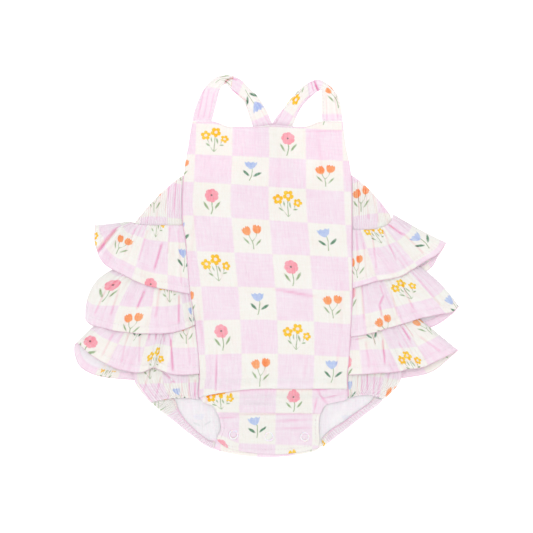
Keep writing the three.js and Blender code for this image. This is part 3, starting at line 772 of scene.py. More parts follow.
def tier_flat(name, place, down):
    """A tier seen from above, before its two ends are brought to the front's seams."""
    rows = TIERS[name]
    top_x = along(rows, "top_x", place)
    top_y = along(rows, "top_y", place)
    hem_x = along(rows, "hem_x", place)
    hem_y = along(rows, "hem_y", place)
    length = math.hypot(hem_x - top_x, hem_y - top_y)
    bow = along(rows, "bow", place) * 4 * down * (1 - down)
    x = lerp(top_x, hem_x, down) + bow * (hem_y - top_y) / length
    return x, lerp(top_y, hem_y, down) - bow * (hem_x - top_x) / length


def tier_middle(name, place, down):
    rows = TIERS[name]
    last = len(rows) - 1
    x, y = tier_flat(name, place, down)
    if place < SEAM_ROWS:
        start_x, start_y = tier_flat(name, 0, down)
        x += (seam_x(True, start_y) - start_x) * ease(SEAM_ROWS, 0, place)
    if place > last - SEAM_ROWS:
        end_x, end_y = tier_flat(name, last, down)
        x += (seam_x(False, end_y) - end_x) * ease(last - SEAM_ROWS, last, place)
    front = 0.5 + 0.5 * max(-1.0, min(1.0, along(rows, "layer", place)))
    hemward = ease(*TIER_RISE, down)
    front_z = lerp(TIER_FRONT_TOP, TIER_FRONT_HEM, hemward)
    back_z = lerp(TIER_BACK_TOP, ON_FLOOR, hemward)
    wave = sum(w["height"] * hump(place, w["at"], w["half_width"]) for w in TIER_WAVES[name])
    wave *= ease(TIER_WAVES_FROM, 1, down)
    shift = UNEVEN_RIPPLE["by"] * math.sin(UNEVEN_RIPPLE["turn"] * place)
    ripple = TIER_RIPPLE * math.sin(2 * math.pi * (TIER_RIPPLES * place + shift))
    ripple *= 1 - TIER_RIPPLE_LOSS * down
    hem = HEM_LIFT * ease(*HEM_STEP, (1 - down) * tier_length(name, place))
    fine = (ripple + line_height(TIER_LINES[name], x, y) + hem) * ease(*IN_FRONT, front)
    return x, y, lerp(back_z, front_z, front) + wave + fine


def tier_print(name, place, down):
    rows = TIER_PRINT[name]
    top_row = between(rows, "place", "top_row", place)
    hem_row = between(rows, "place", "hem_row", place)
    column = between(rows, "place", "column", place) + between(rows, "place", "lean", place) * down
    return column, lerp(top_row, hem_row, down)


# Straps

STRAP = "inner_x inner_y outer_x outer_y height"
STRAPS = {
    "strap_left": table(STRAP, [
        (-58.2, 152.7, -78.4, 152.7, 5.6),
        (-55.3, 163, -76.1, 163, 5.4),
        (-52.9, 172.5, -72.5, 173.5, 5),
        (-50, 184, -67.2, 184.5, 4.8),
        (-46.9, 189.3, -59.9, 193.8, 4.6),
        (-43, 191.8, -50.5, 200, 4.4),
        (-38.9, 187.6, -37.5, 200.6, 3),
        (-32.6, 181.6, -27.3, 196.4, 1.6),
        (-25.8, 175, -18.9, 188.2, 1.2),
        (-21, 165.5, -8.5, 177.4, 1.5),
        (-17.9, 155.3, -0.4, 164, 2.4),
        (-13, 143, 5.5, 150, 3.3),
        (-2, 124, 15.5, 130, 3.3),
        (10, 108, 28, 112, 3),
        (22, 92.9, 41, 92.9, 1),
    ]),
    "strap_right": table(STRAP, [
        (58, 152.7, 79.6, 152.7, 5.6),
        (57.2, 166.2, 77.9, 166.2, 5.4),
        (57.2, 177, 75, 178, 4.9),
        (57.3, 182.6, 69.3, 186.4, 4.5),
        (56.8, 185.4, 62.4, 192.6, 3.8),
        (53.3, 184.4, 54.2, 196.6, 2.8),
        (47.6, 179.6, 46.2, 194.6, 1.8),
        (41, 173.5, 37.8, 189.3, 1.2),
        (35.7, 166.7, 28.4, 180.3, 1),
        (31.5, 158.3, 18.9, 168.3, 1),
        (26, 146, 6.8, 152.5, 1),
        (15, 126, -3, 132, 1),
        (2, 109, -15, 113, 1),
        (-11, 92.9, -30, 92.9, 1),
    ]),
}
STRAP_PRINT = {
    "strap_left": table("place inner_column outer_column row", [
        (0, 2.84, 2.32, 5.9),
        (3.4, 2.84, 2.32, 5),
        (6.14, 2.84, 2.32, 4.56),
        (6.21, 2.84, 2.32, 3.7),
        (7.3, 2.84, 2.32, 3),
        (10.3, 2.84, 2.32, 2),
        (14, 2.84, 2.32, 0.4),
    ]),
    "strap_right": table("place inner_column outer_column row", [
        (0, 2.07, 2.59, 5.2),
        (0.55, 2.07, 2.59, 5),
        (4.3, 2.07, 2.59, 4),
        (6.35, 2.07, 2.59, 3.86),
        (6.45, 2.9, 3.42, 3.85),
        (9.2, 2.9, 3.42, 3),
        (13, 2.9, 3.42, 1.5),
    ]),
}
STRAP_EDGES = (0.12, 0.88)  # the ridges along a strap's two sewn edges
STRAP_EDGE_WIDE = 0.06
STRAP_EDGE_RIDGE = 0.3
STRAP_WRINKLES = 3.2  # lengthwise wrinkles across a strap's width
STRAP_WRINKLE = 0.15
UNEVEN_WRINKLE = {"by": 0.1, "turn": 1.7}
# Creases of the straps, in the same millimetres: the folds over the shoulder and the lengthwise wrinkles
STRAP_LINES = {
    "strap_left": table(LINE, [
        (-44.6, 190.8, -43.4, 193.6, 1.3, -1.8),
        (-41.4, 196, -38.8, 197.4, 1.3, -1.8),
        (-36.6, 197.6, -34, 196.9, 1.2, -1.2),
        (-40, 187.5, -34, 184, 1.2, -1.1),
        (-31, 181.6, -22, 174.5, 1.2, -0.9),
        (-21.5, 168, -18.9, 158, 1.1, -0.8),
        (-66, 158, -61.5, 184, 1.2, -0.3),
        (-72, 158, -66.5, 184, 1.2, -0.45),
        (-60.5, 156, -56.2, 180, 1, -0.25),
        (-10, 172, 2, 150, 1.0, -0.35),
    ]),
    "strap_right": table(LINE, [
        (50.6, 193.4, 52, 189.8, 1.3, -1.9),
        (53, 187.4, 54.2, 184.8, 1.3, -1.9),
        (46.8, 193, 48.4, 187, 1.0, -0.8),
        (63, 157, 62.5, 178, 1.0, -0.35),
        (74, 157, 71, 180, 1.0, -0.4),
        (33, 164, 44, 178, 1.0, -0.5),
        (10, 152, 24, 176, 0.9, -0.35),
        (54.5, 185.6, 41, 176.5, 0.9, -0.5),
    ]),
}


def strap_middle(name, place, across):
    rows = STRAPS[name]
    x = lerp(along(rows, "inner_x", place), along(rows, "outer_x", place), across)
    y = lerp(along(rows, "inner_y", place), along(rows, "outer_y", place), across)
    ridge = STRAP_EDGE_RIDGE * sum(hump(across, edge, STRAP_EDGE_WIDE) for edge in STRAP_EDGES)
    shift = UNEVEN_WRINKLE["by"] * math.sin(UNEVEN_WRINKLE["turn"] * place)
    wrinkle = STRAP_WRINKLE * math.sin(2 * math.pi * (STRAP_WRINKLES * across + shift))
    height = max(STRAP_CLOTH / 2, along(rows, "height", place))
    return x, y, height + ridge + wrinkle + line_height(STRAP_LINES[name], x, y)


def strap_print(name, place, across):
    rows = STRAP_PRINT[name]
    inner = between(rows, "place", "inner_column", place)
    outer = between(rows, "place", "outer_column", place)
    return lerp(inner, outer, across), between(rows, "place", "row", place)


# Leg casings

CASING = "outer_x outer_y inner_x inner_y"
CASINGS = {
    "leg_casing_left": table(CASING, [
        (-122.4, -143.2, -104, -137.8),
        (-114.8, -149.9, -97.1, -141),
        (-107.1, -156.2, -93.5, -149.9),
        (-96.1, -164.4, -88.2, -159.3),
        (-86.7, -172.4, -80.3, -168),
        (-75.6, -180.8, -70.3, -177),
        (-66.6, -187.7, -61.9, -183),
        (-56.5, -192.8, -54.5, -184.5),
    ]),
    "leg_casing_right": table(CASING, [
        (122.4, -140.8, 112.5, -138.2),
        (115.6, -147.2, 108.6, -143.4),
        (105.8, -154.1, 100.8, -149.4),
        (94.5, -162.9, 89.3, -157.4),
        (85.9, -169.8, 80.9, -163.9),
        (77.2, -176.4, 71.4, -169.6),
        (68.3, -183.3, 63, -176.1),
        (59.3, -190.2, 57.4, -182.6),
    ]),
}
CASING_PRINT = {
    "leg_casing_left": table("place inner_column outer_column inner_row outer_row", [
        (0, 0.9, 0.1, 10.35, 10.55),
        (1.9, 1, 0.95, 10.6, 10.8),
        (5, 1.6, 1.5, 10.4, 10.9),
        (7, 2.1, 2, 10.3, 10.9),
    ]),
    "leg_casing_right": table("place inner_column outer_column inner_row outer_row", [
        (0, 2.2, 2.3, 10.8, 11.4),
        (1, 2.25, 2.3, 11.02, 11.5),
        (5.6, 2.5, 2.5, 11.02, 11.6),
        (6.3, 2.95, 2.95, 10.8, 11.45),
        (7, 3.35, 3.2, 11.3, 11.45),
    ]),
}
CASING_GATHERS = 9
CASING_RIPPLE = 0.5
CASING_FINE_GATHERS = 31
CASING_FINE_RIPPLE = 0.28
UNEVEN_CASING = {"by": 1.5, "turn": 13}
PAINTED_CASING_EDGE_SHADOW = 2  # painted shadow at its inner edge, given as how deep a trough would be
CASING_EDGE_WIDE = 0.12
CASING_SEWN_AT = 0.84


def casing_middle(name, place, across):
    rows = CASINGS[name]
    share = place / (len(rows) - 1)
    ripple = CASING_RIPPLE * (0.5 + 0.5 * math.sin(2 * math.pi * CASING_GATHERS * share))
    shift = UNEVEN_CASING["by"] * math.sin(UNEVEN_CASING["turn"] * share)
    ripple += CASING_FINE_RIPPLE * math.sin(2 * math.pi * CASING_FINE_GATHERS * share + shift)
    x = lerp(along(rows, "outer_x", place), along(rows, "inner_x", place), across)
    y = lerp(along(rows, "outer_y", place), along(rows, "inner_y", place), across)
    return x, y, CASING_LAY + ripple * math.sin(math.pi * across)


def casing_print(name, place, across):
    def at(column):
        outer = between(CASING_PRINT[name], "place", "outer_" + column, place)
        return lerp(outer, between(CASING_PRINT[name], "place", "inner_" + column, place), across)

    return at("column"), at("row")


# Node helpers


def put(tree, kind, inputs=(), **settings):
    """A new node with its settings, and values or links for its inputs."""
    node = tree.nodes.new(kind)
    for key, value in settings.items():
        setattr(node, key, value)
    for key, value in dict(inputs).items():
        if isinstance(value, bpy.types.NodeSocket):
            tree.links.new(value, node.inputs[key])
        else:
            node.inputs[key].default_value = value
    return node


def calc(tree, operation, *values, clamp=False):
    return put(tree, "ShaderNodeMath", enumerate(values), operation=operation, use_clamp=clamp).outputs[0]


def vector(tree, operation, *values):
    return put(tree, "ShaderNodeVectorMath", enumerate(values), operation=operation).outputs[0]


def scaled(tree, value, scale):
    return put(tree, "ShaderNodeVectorMath", {0: value, "Scale": scale}, operation="SCALE").outputs[0]


def blend(tree, share, first, second, mode="MIX"):
    node = put(tree, "ShaderNodeMix", data_type="RGBA", blend_type=mode)
    for socket, value in ((node.inputs[0], share), (node.inputs[6], first), (node.inputs[7], second)):
        if isinstance(value, bpy.types.NodeSocket):
            tree.links.new(value, socket)
        else:
            socket.default_value = value
    return node.outputs[2]


def new_group(name, inputs, outputs):
    """A node group with named sockets; returns its tree and its input node."""
    tree = bpy.data.node_groups.new(name, "ShaderNodeTree")
    for socket_name, kind, value in inputs:
        socket = tree.interface.new_socket(socket_name, in_out="INPUT", socket_type=f"NodeSocket{kind}")
        if value is not None:
            socket.default_value = value
    for socket_name, kind in outputs:
        tree.interface.new_socket(socket_name, in_out="OUTPUT", socket_type=f"NodeSocket{kind}")
    return tree, tree.nodes.new("NodeGroupInput").outputs


def close_group(tree, **results):
    end = tree.nodes.new("NodeGroupOutput")
    for name, socket in results.items():
        tree.links.new(socket, end.inputs[name.replace("_", " ")])
    return tree


def use(tree, group, **inputs):
    node = tree.nodes.new("ShaderNodeGroup")
    node.node_tree = group
    for name, value in inputs.items():
        socket = node.inputs[name.replace("_", " ")]
        if isinstance(value, bpy.types.NodeSocket):
            tree.links.new(value, socket)
        else:
            socket.default_value = value
    return node.outputs


def srgb(red, green, blue):
    """A colour given as it is seen on a screen, 0 to 255, in Blender's linear values."""
    def linear(value):
        share = value / 255
        return share / 12.92 if share <= 0.04045 else ((share + 0.055) / 1.055) ** 2.4
    return linear(red), linear(green), linear(blue), 1.0


# Shapes of the print. Their points are in millimetres from the middle of a square.

EDGE_CRISP = 1.3  # how fast a printed edge fades, for each millimetre


def crisp(tree, inside):
    return calc(tree, "MULTIPLY_ADD", inside, EDGE_CRISP, 0.5, clamp=True)


def turned(tree, point, centre, turn):
    moved = vector(tree, "SUBTRACT", point, centre)
    rotate = put(tree, "ShaderNodeVectorRotate", {"Vector": moved, "Angle": turn}, rotation_type="Z_AXIS")
    return rotate.outputs[0]


def make_petal_group():
    tree, given = new_group("petal or leaf", [
        ("Point", "Vector", None), ("Centre", "Vector", None),
        ("Radii", "Vector", (1, 1, 1)), ("Turn", "Float", 0),
    ], [("Mask", "Float")])
    local = turned(tree, given["Point"], given["Centre"], given["Turn"])
    scaled = vector(tree, "DIVIDE", local, given["Radii"])
    far = put(tree, "ShaderNodeVectorMath", {0: scaled}, operation="LENGTH").outputs[1]
    thin = put(tree, "ShaderNodeSeparateXYZ", {0: given["Radii"]}).outputs[1]
    inside = calc(tree, "MULTIPLY", calc(tree, "SUBTRACT", 1.0, far), thin)
    return close_group(tree, Mask=crisp(tree, inside))


def make_stem_group():
    tree, given = new_group("stem", [
        ("Point", "Vector", None), ("Foot", "Vector", None), ("Tip", "Vector", None),
        ("Bow", "Float", 0), ("Half Width", "Float", 0.4),
    ], [("Mask", "Float")])
    whole = vector(tree, "SUBTRACT", given["Tip"], given["Foot"])
    part = vector(tree, "SUBTRACT", given["Point"], given["Foot"])
    dot = put(tree, "ShaderNodeVectorMath", {0: part, 1: whole}, operation="DOT_PRODUCT").outputs[1]
    square = put(tree, "ShaderNodeVectorMath", {0: whole, 1: whole}, operation="DOT_PRODUCT").outputs[1]
    share = calc(tree, "DIVIDE", dot, square, clamp=True)
    line = scaled(tree, whole, share)
    sideways = calc(tree, "MULTIPLY", calc(tree, "SUBTRACT", 1.0, share), share)
    bow = calc(tree, "MULTIPLY", calc(tree, "MULTIPLY", sideways, 4.0), given["Bow"])
    bowed = put(tree, "ShaderNodeCombineXYZ", {0: bow}).outputs[0]
    gap = vector(tree, "SUBTRACT", vector(tree, "SUBTRACT", part, line), bowed)
    far = put(tree, "ShaderNodeVectorMath", {0: gap}, operation="LENGTH").outputs[1]
    return close_group(tree, Mask=crisp(tree, calc(tree, "SUBTRACT", given["Half Width"], far)))


def make_blossom_group():
    tree, given = new_group("blossom", [
        ("Point", "Vector", None), ("Centre", "Vector", None), ("Radius", "Float", 5),
        ("Petals", "Float", 5), ("Turn", "Float", 0), ("Notch", "Float", 0.3), ("Core", "Float", 0.3),
    ], [("Mask", "Float"), ("Core Mask", "Float")])
    local = turned(tree, given["Point"], given["Centre"], given["Turn"])
    parts = put(tree, "ShaderNodeSeparateXYZ", {0: local}).outputs
    angle = calc(tree, "ARCTAN2", parts[1], parts[0])
    half_turns = calc(tree, "MULTIPLY", calc(tree, "MULTIPLY", angle, given["Petals"]), 0.5)
    swell = calc(tree, "POWER", calc(tree, "ABSOLUTE", calc(tree, "COSINE", half_turns)), 0.6)
    cut = calc(tree, "MULTIPLY", given["Notch"], calc(tree, "SUBTRACT", 1.0, swell))
    rim = calc(tree, "MULTIPLY", given["Radius"], calc(tree, "SUBTRACT", 1.0, cut))
    far = put(tree, "ShaderNodeVectorMath", {0: local}, operation="LENGTH").outputs[1]
    core_rim = calc(tree, "MULTIPLY", given["Radius"], given["Core"])
    mask = crisp(tree, calc(tree, "SUBTRACT", rim, far))
    return close_group(tree, Mask=mask, Core_Mask=crisp(tree, calc(tree, "SUBTRACT", core_rim, far)))


def make_cup_group():
    tree, given = new_group("tulip cup", [
        ("Point", "Vector", None), ("Centre", "Vector", None), ("Width", "Float", 8), ("Height", "Float", 9),
        ("Turn", "Float", 0), ("Teeth", "Float", 2.5), ("Flare", "Float", 0),
    ], [("Mask", "Float")])
    local = turned(tree, given["Point"], given["Centre"], given["Turn"])
    parts = put(tree, "ShaderNodeSeparateXYZ", {0: local}).outputs
    sideways = calc(tree, "DIVIDE", parts[0], given["Width"])
    upward = calc(tree, "DIVIDE", parts[1], given["Height"])
    flared = calc(tree, "MULTIPLY_ADD", upward, given["Flare"], 1.0)
    wide = calc(tree, "DIVIDE", calc(tree, "MULTIPLY", sideways, 2.0), flared)
    high = calc(tree, "MULTIPLY_ADD", upward, 1.7, -0.12)
    squares = calc(tree, "ADD", calc(tree, "POWER", wide, 2.0), calc(tree, "POWER", high, 2.0))
    inward = calc(tree, "SUBTRACT", 1.0, calc(tree, "SQRT", squares))
    bowl = calc(tree, "MULTIPLY", inward, calc(tree, "MULTIPLY", given["Width"], 0.45))
    tooth = calc(tree, "PINGPONG", calc(tree, "MULTIPLY", sideways, given["Teeth"]), 0.5)
    top = calc(tree, "MULTIPLY_ADD", tooth, 0.3, 0.25)
    under_top = calc(tree, "MULTIPLY", calc(tree, "SUBTRACT", top, upward), given["Height"])
    return close_group(tree, Mask=crisp(tree, calc(tree, "MINIMUM", bowl, under_top)))


PETAL = make_petal_group()
STEM = make_stem_group()
BLOSSOM = make_blossom_group()
CUP = make_cup_group()

PINK = srgb(249, 230, 241)
CREAM = srgb(250, 246, 240)
YELLOW = srgb(254, 203, 32)
POPPY = srgb(253, 170, 184)
POPPY_HEART = srgb(95, 110, 105)
BLUE = srgb(190, 206, 241)
ORANGE = srgb(255, 165, 108)
GREEN = srgb(160, 186, 142)
DARK_GREEN = srgb(98, 146, 116)
PETAL_HEART = srgb(250, 240, 236)


def most(tree, masks):
    out = masks[0]
    for mask in masks[1:]:
        out = calc(tree, "MAXIMUM", out, mask)
    return out


def leaf(tree, point, centre, radii, degrees):
    turn = math.radians(-degrees)
    return use(tree, PETAL, Point=point, Centre=(*centre, 0), Radii=(*radii, 1), Turn=turn)["Mask"]


def stem(tree, point, foot, tip, bow=0.0, half=0.42):
    return use(tree, STEM, Point=point, Foot=(*foot, 0), Tip=(*tip, 0), Bow=bow, Half_Width=half)["Mask"]


def cup(tree, point, centre, size, turn, teeth, flare):
    settings = {"Width": size[0], "Height": size[1], "Turn": turn, "Teeth": teeth, "Flare": flare}
    return use(tree, CUP, Point=point, Centre=(*centre, 0), **settings)["Mask"]


def buttercups(tree, point):
    """Three small yellow blossoms in a bunch: the masks of their petals, their hearts and their greenery."""
    petals, hearts = [], []
    for x, y, radius, turn in ((1.0, 9.2, 5.7, 0.3), (-9.4, 5.0, 5.4, 0.9), (10.6, 2.2, 4.5, 0.1)):
        shape = {"Radius": radius, "Turn": turn, "Notch": 0.4, "Core": 0.29}
        bloom = use(tree, BLOSSOM, Point=point, Centre=(x, y, 0), **shape)
        petals.append(bloom["Mask"])
        hearts.append(bloom["Core Mask"])
    greens = [
        stem(tree, point, (0, -12.5), (0.5, 5)),
        stem(tree, point, (0, -12.5), (-7.4, 0.5), -1.2),
        stem(tree, point, (0, -12.5), (7.6, -1), 1.4),
        leaf(tree, point, (-6.6, -5.4), (2.6, 0.9), -38),
        leaf(tree, point, (7.8, -5.0), (1.9, 0.8), 8),
        leaf(tree, point, (-3.2, 0.4), (2.3, 0.7), 100),
        leaf(tree, point, (2.8, -0.6), (2.8, 0.9), 104),
    ]
    return most(tree, petals), most(tree, hearts), most(tree, greens)


def poppy(tree, point):
    shape = {"Radius": 7.2, "Petals": 7, "Turn": 0.4, "Notch": 0.14, "Core": 0.13}
    bloom = use(tree, BLOSSOM, Point=point, Centre=(0, 5.2, 0), **shape)
    greens = [
        stem(tree, point, (-0.8, -14), (0.3, -1), 1.0, 0.5),
        leaf(tree, point, (-5.4, -5.6), (4.4, 1.15), -58),
        leaf(tree, point, (6.2, -4.8), (4.4, 1.15), 56),
    ]
    return bloom["Mask"], bloom["Core Mask"], most(tree, greens)


def blue_tulip(tree, point):
    bloom = cup(tree, point, (-1.6, 7.8), (11.6, 10), -0.12, 2.5, 0.6)
    stalk = stem(tree, point, (-0.4, -11.5), (0.4, 3.6), 0.8, 0.42)
    leaves = [
        leaf(tree, point, (-5.2, -3.2), (4.2, 1.35), -40),
        leaf(tree, point, (6.4, -2.6), (4.4, 1.35), 40),
    ]
    return bloom, stalk, most(tree, leaves)


def orange_tulips(tree, point):
    cups = [
        cup(tree, point, (-4.4, 6.2), (8.8, 10.4), -0.5, 3, -0.2),
        cup(tree, point, (6.6, 8.0), (8.8, 10.0), 0.2, 3, -0.2),
    ]
    greens = [
        stem(tree, point, (0.8, -13), (0.6, -5), 0.0),
        stem(tree, point, (0.6, -5), (-2.6, 1.8), -0.6),
        stem(tree, point, (0.6, -5), (6.0, 3.6), 1.0),
        leaf(tree, point, (-5.4, -4.6), (3.9, 0.9), -50),
        leaf(tree, point, (6.6, -6.2), (3.9, 0.9), 46),
    ]
    return most(tree, cups), most(tree, greens)


PRINT_WANDER = 0.045  # how far the print's lines stray, in squares
PRINT_WANDER_SCALE = 5.5
CHECK_CRISP = 14.0
MOTIF_SHIFT = (2.6, 2.0, 0)  # how far a motif may be moved in its square, and turned, in radians
MOTIF_TURN = 0.24
BRUSH_SCALE = 26.0
BRUSH_MARK = -0.45  # how much a brush mark thins the paint
BRUSH_FULL = 1.18


def make_print_group():
    """The whole print from a place in squares: X counts columns, Y counts rows downwards."""
    tree, given = new_group("checked flower print", [("Place", "Vector", None)], [("Color", "Color")])
    place = given["Place"]
    soft = put(tree, "ShaderNodeTexNoise", {"Vector": place, "Scale": PRINT_WANDER_SCALE, "Detail": 2.0})
    shifted = vector(tree, "SUBTRACT", soft.outputs["Color"], (0.5, 0.5, 0.5))
    wavy = vector(tree, "ADD", place, scaled(tree, shifted, PRINT_WANDER))
    parts = put(tree, "ShaderNodeSeparateXYZ", {0: wavy}).outputs
    column = calc(tree, "FLOOR", parts[0])
    row = calc(tree, "FLOOR", parts[1])

    # The check
    bands = []
    for part in (parts[0], parts[1]):
        wave = calc(tree, "SINE", calc(tree, "MULTIPLY", part, math.pi))
        steep = calc(tree, "MULTIPLY", wave, CHECK_CRISP)
        bands.append(calc(tree, "MAXIMUM", calc(tree, "MINIMUM", steep, 1.0), -1.0))
    pink_share = calc(tree, "MULTIPLY_ADD", calc(tree, "MULTIPLY", bands[0], bands[1]), -0.5, 0.5)
    colour = blend(tree, pink_share, CREAM, PINK)

    # Which motif a square holds
    row_odd = calc(tree, "FLOORED_MODULO", row, 2.0)
    pair = calc(tree, "FLOORED_MODULO", calc(tree, "MULTIPLY", calc(tree, "ADD", column, row), 0.5), 2.0)
    row_even = calc(tree, "SUBTRACT", 1.0, row_odd)
    pair_zero = calc(tree, "COMPARE", pair, 0.0, 0.1)
    pair_one = calc(tree, "COMPARE", pair, 1.0, 0.1)

    # The point inside its square, a little moved and turned from one square to the next
    inner_x = calc(tree, "MULTIPLY", calc(tree, "SUBTRACT", calc(tree, "FRACT", parts[0]), 0.5), SQUARE_WIDE)
    inner_y = calc(tree, "MULTIPLY", calc(tree, "SUBTRACT", 0.5, calc(tree, "FRACT", parts[1])), SQUARE_HIGH)
    inner = put(tree, "ShaderNodeCombineXYZ", {0: inner_x, 1: inner_y}).outputs[0]
    which = put(tree, "ShaderNodeCombineXYZ", {0: column, 1: row}).outputs[0]
    chance = put(tree, "ShaderNodeTexWhiteNoise", {"Vector": which}, noise_dimensions="2D").outputs
    shift = vector(tree, "MULTIPLY", vector(tree, "SUBTRACT", chance["Color"], (0.5, 0.5, 0.5)), MOTIF_SHIFT)
    turn = calc(tree, "MULTIPLY", calc(tree, "SUBTRACT", chance["Value"], 0.5), MOTIF_TURN)
    point = vector(tree, "MULTIPLY", turned(tree, inner, shift, turn), (1, 1, 0))

    yellow, yellow_heart, yellow_green = buttercups(tree, point)
    poppy_bloom, poppy_heart, poppy_green = poppy(tree, point)
    blue, blue_stalk, blue_leaves = blue_tulip(tree, point)
    orange, orange_green = orange_tulips(tree, point)
    is_yellow = calc(tree, "MULTIPLY", row_odd, pair_one)
    is_poppy = calc(tree, "MULTIPLY", row_odd, pair_zero)
    is_blue = calc(tree, "MULTIPLY", row_even, pair_zero)
    is_orange = calc(tree, "MULTIPLY", row_even, pair_one)

    def only(mask, chosen):
        return calc(tree, "MULTIPLY", mask, chosen)

    greens = most(tree, [
        only(yellow_green, is_yellow), only(poppy_green, is_poppy), only(blue_stalk, is_blue),
        only(orange_green, is_orange),
    ])
    # Brush marks make the paint lighter and darker inside a shape
    brush = put(tree, "ShaderNodeTexNoise", {"Vector": place, "Scale": BRUSH_SCALE, "Detail": 3.0}).outputs[0]
    thin_paint = calc(tree, "MULTIPLY_ADD", brush, BRUSH_MARK, BRUSH_FULL, clamp=True)
    for mask, paint in (
        (greens, GREEN),
        (only(blue_leaves, is_blue), DARK_GREEN),
        (only(yellow, is_yellow), YELLOW),
        (only(yellow_heart, is_yellow), PETAL_HEART),
        (only(poppy_bloom, is_poppy), POPPY),
        (only(poppy_heart, is_poppy), POPPY_HEART),
        (only(blue, is_blue), BLUE),
        (only(orange, is_orange), ORANGE),
    ):
        colour = blend(tree, calc(tree, "MULTIPLY", mask, thin_paint), colour, paint)
    return close_group(tree, Color=colour)


THREADS = 52  # waves of the weave across one square
CROSS_HEIGHT = 0.45  # how high the cross puckers and the threads are beside the upright ones
WEAVE_HEIGHT = 0.03
PUCKER_SHADE_AND_ROUGHNESS = (0.45, 0.3, 0.25)  # how much of the pucker value comes from upright, cross and broad puckers; it paints shade and highlight and also sets the roughness


def make_gauze_group():
    """The crinkle of double gauze: long upright puckers, a few cross ones, and the threads themselves; a
    height for the bump, and a pucker value for painted shade and highlight and for roughness.
    """
    results = [("Height", "Float"), ("Tone", "Float")]
    tree, given = new_group("crinkled gauze", [("Place", "Vector", None)], results)
    place = given["Place"]

    def noise(stretch, scale, detail, roughness):
        stretched = vector(tree, "MULTIPLY", place, stretch)
        return put(tree, "ShaderNodeTexNoise", {
            "Vector": stretched, "Scale": scale, "Detail": detail, "Roughness": roughness,
        }).outputs[0]

    upright = noise(stretch=(11, 1.1, 1), scale=1.9, detail=3.0, roughness=0.6)
    cross = noise(stretch=(1.3, 10, 1), scale=1.6, detail=3.0, roughness=0.6)
    broad = noise(stretch=(1.6, 1.0, 1), scale=1.1, detail=2.0, roughness=0.5)
    parts = put(tree, "ShaderNodeSeparateXYZ", {0: place}).outputs
    threads = []
    for part in (parts[0], parts[1]):
        threads.append(calc(tree, "SINE", calc(tree, "MULTIPLY", part, 2 * math.pi * THREADS)))
    weave = calc(tree, "MULTIPLY", threads[0], threads[1])
    height = calc(tree, "MULTIPLY_ADD", cross, CROSS_HEIGHT, upright)
    height = calc(tree, "MULTIPLY_ADD", weave, WEAVE_HEIGHT, height)
    pucker_shade = calc(tree, "MULTIPLY", upright, PUCKER_SHADE_AND_ROUGHNESS[0])
    pucker_shade = calc(tree, "MULTIPLY_ADD", cross, PUCKER_SHADE_AND_ROUGHNESS[1], pucker_shade)
    pucker_shade = calc(tree, "MULTIPLY_ADD", broad, PUCKER_SHADE_AND_ROUGHNESS[2], pucker_shade)
    return close_group(tree, Height=height, Tone=pucker_shade)


PRINT = make_print_group()
GAUZE = make_gauze_group()

CLOTH_SHADE = (0.93, 0.92, 0.922, 1)  # how much of the light the brightest cloth sends back
PAINTED_CREASE_SHADE = (0.95, 0.6, 0.74, 1)  # painted shade: how much of the light the cloth sends back at the bottom of creases
PAINTED_SHADE_RAMP = 3.2  # how soon the painted shade in creases reaches that
PAINTED_CREASE_GAMMA = 3.6  # painted shade: how much darker and more saturated the print's colour is made in creases
PUCKER_SHADE_START = 2.2  # painted shade and highlight: the print's colour is made darker in the gauze's hollows and paler on its puckers
PUCKER_SHADE_CHANGE = -2.4
SHADE_GAMMA_LEAST = 0.55
CRINKLE = 0.0006
ROUGH_START = 0.84
ROUGH_CHANGE = 0.12
LIGHT_THROUGH = 0.4  # the share of light that goes into the cloth and comes out beside it


def new_material(name):
    material = bpy.data.materials.new(name)
    material.use_nodes = True
    tree = material.node_tree
    return material, tree, tree.nodes["Principled BSDF"]


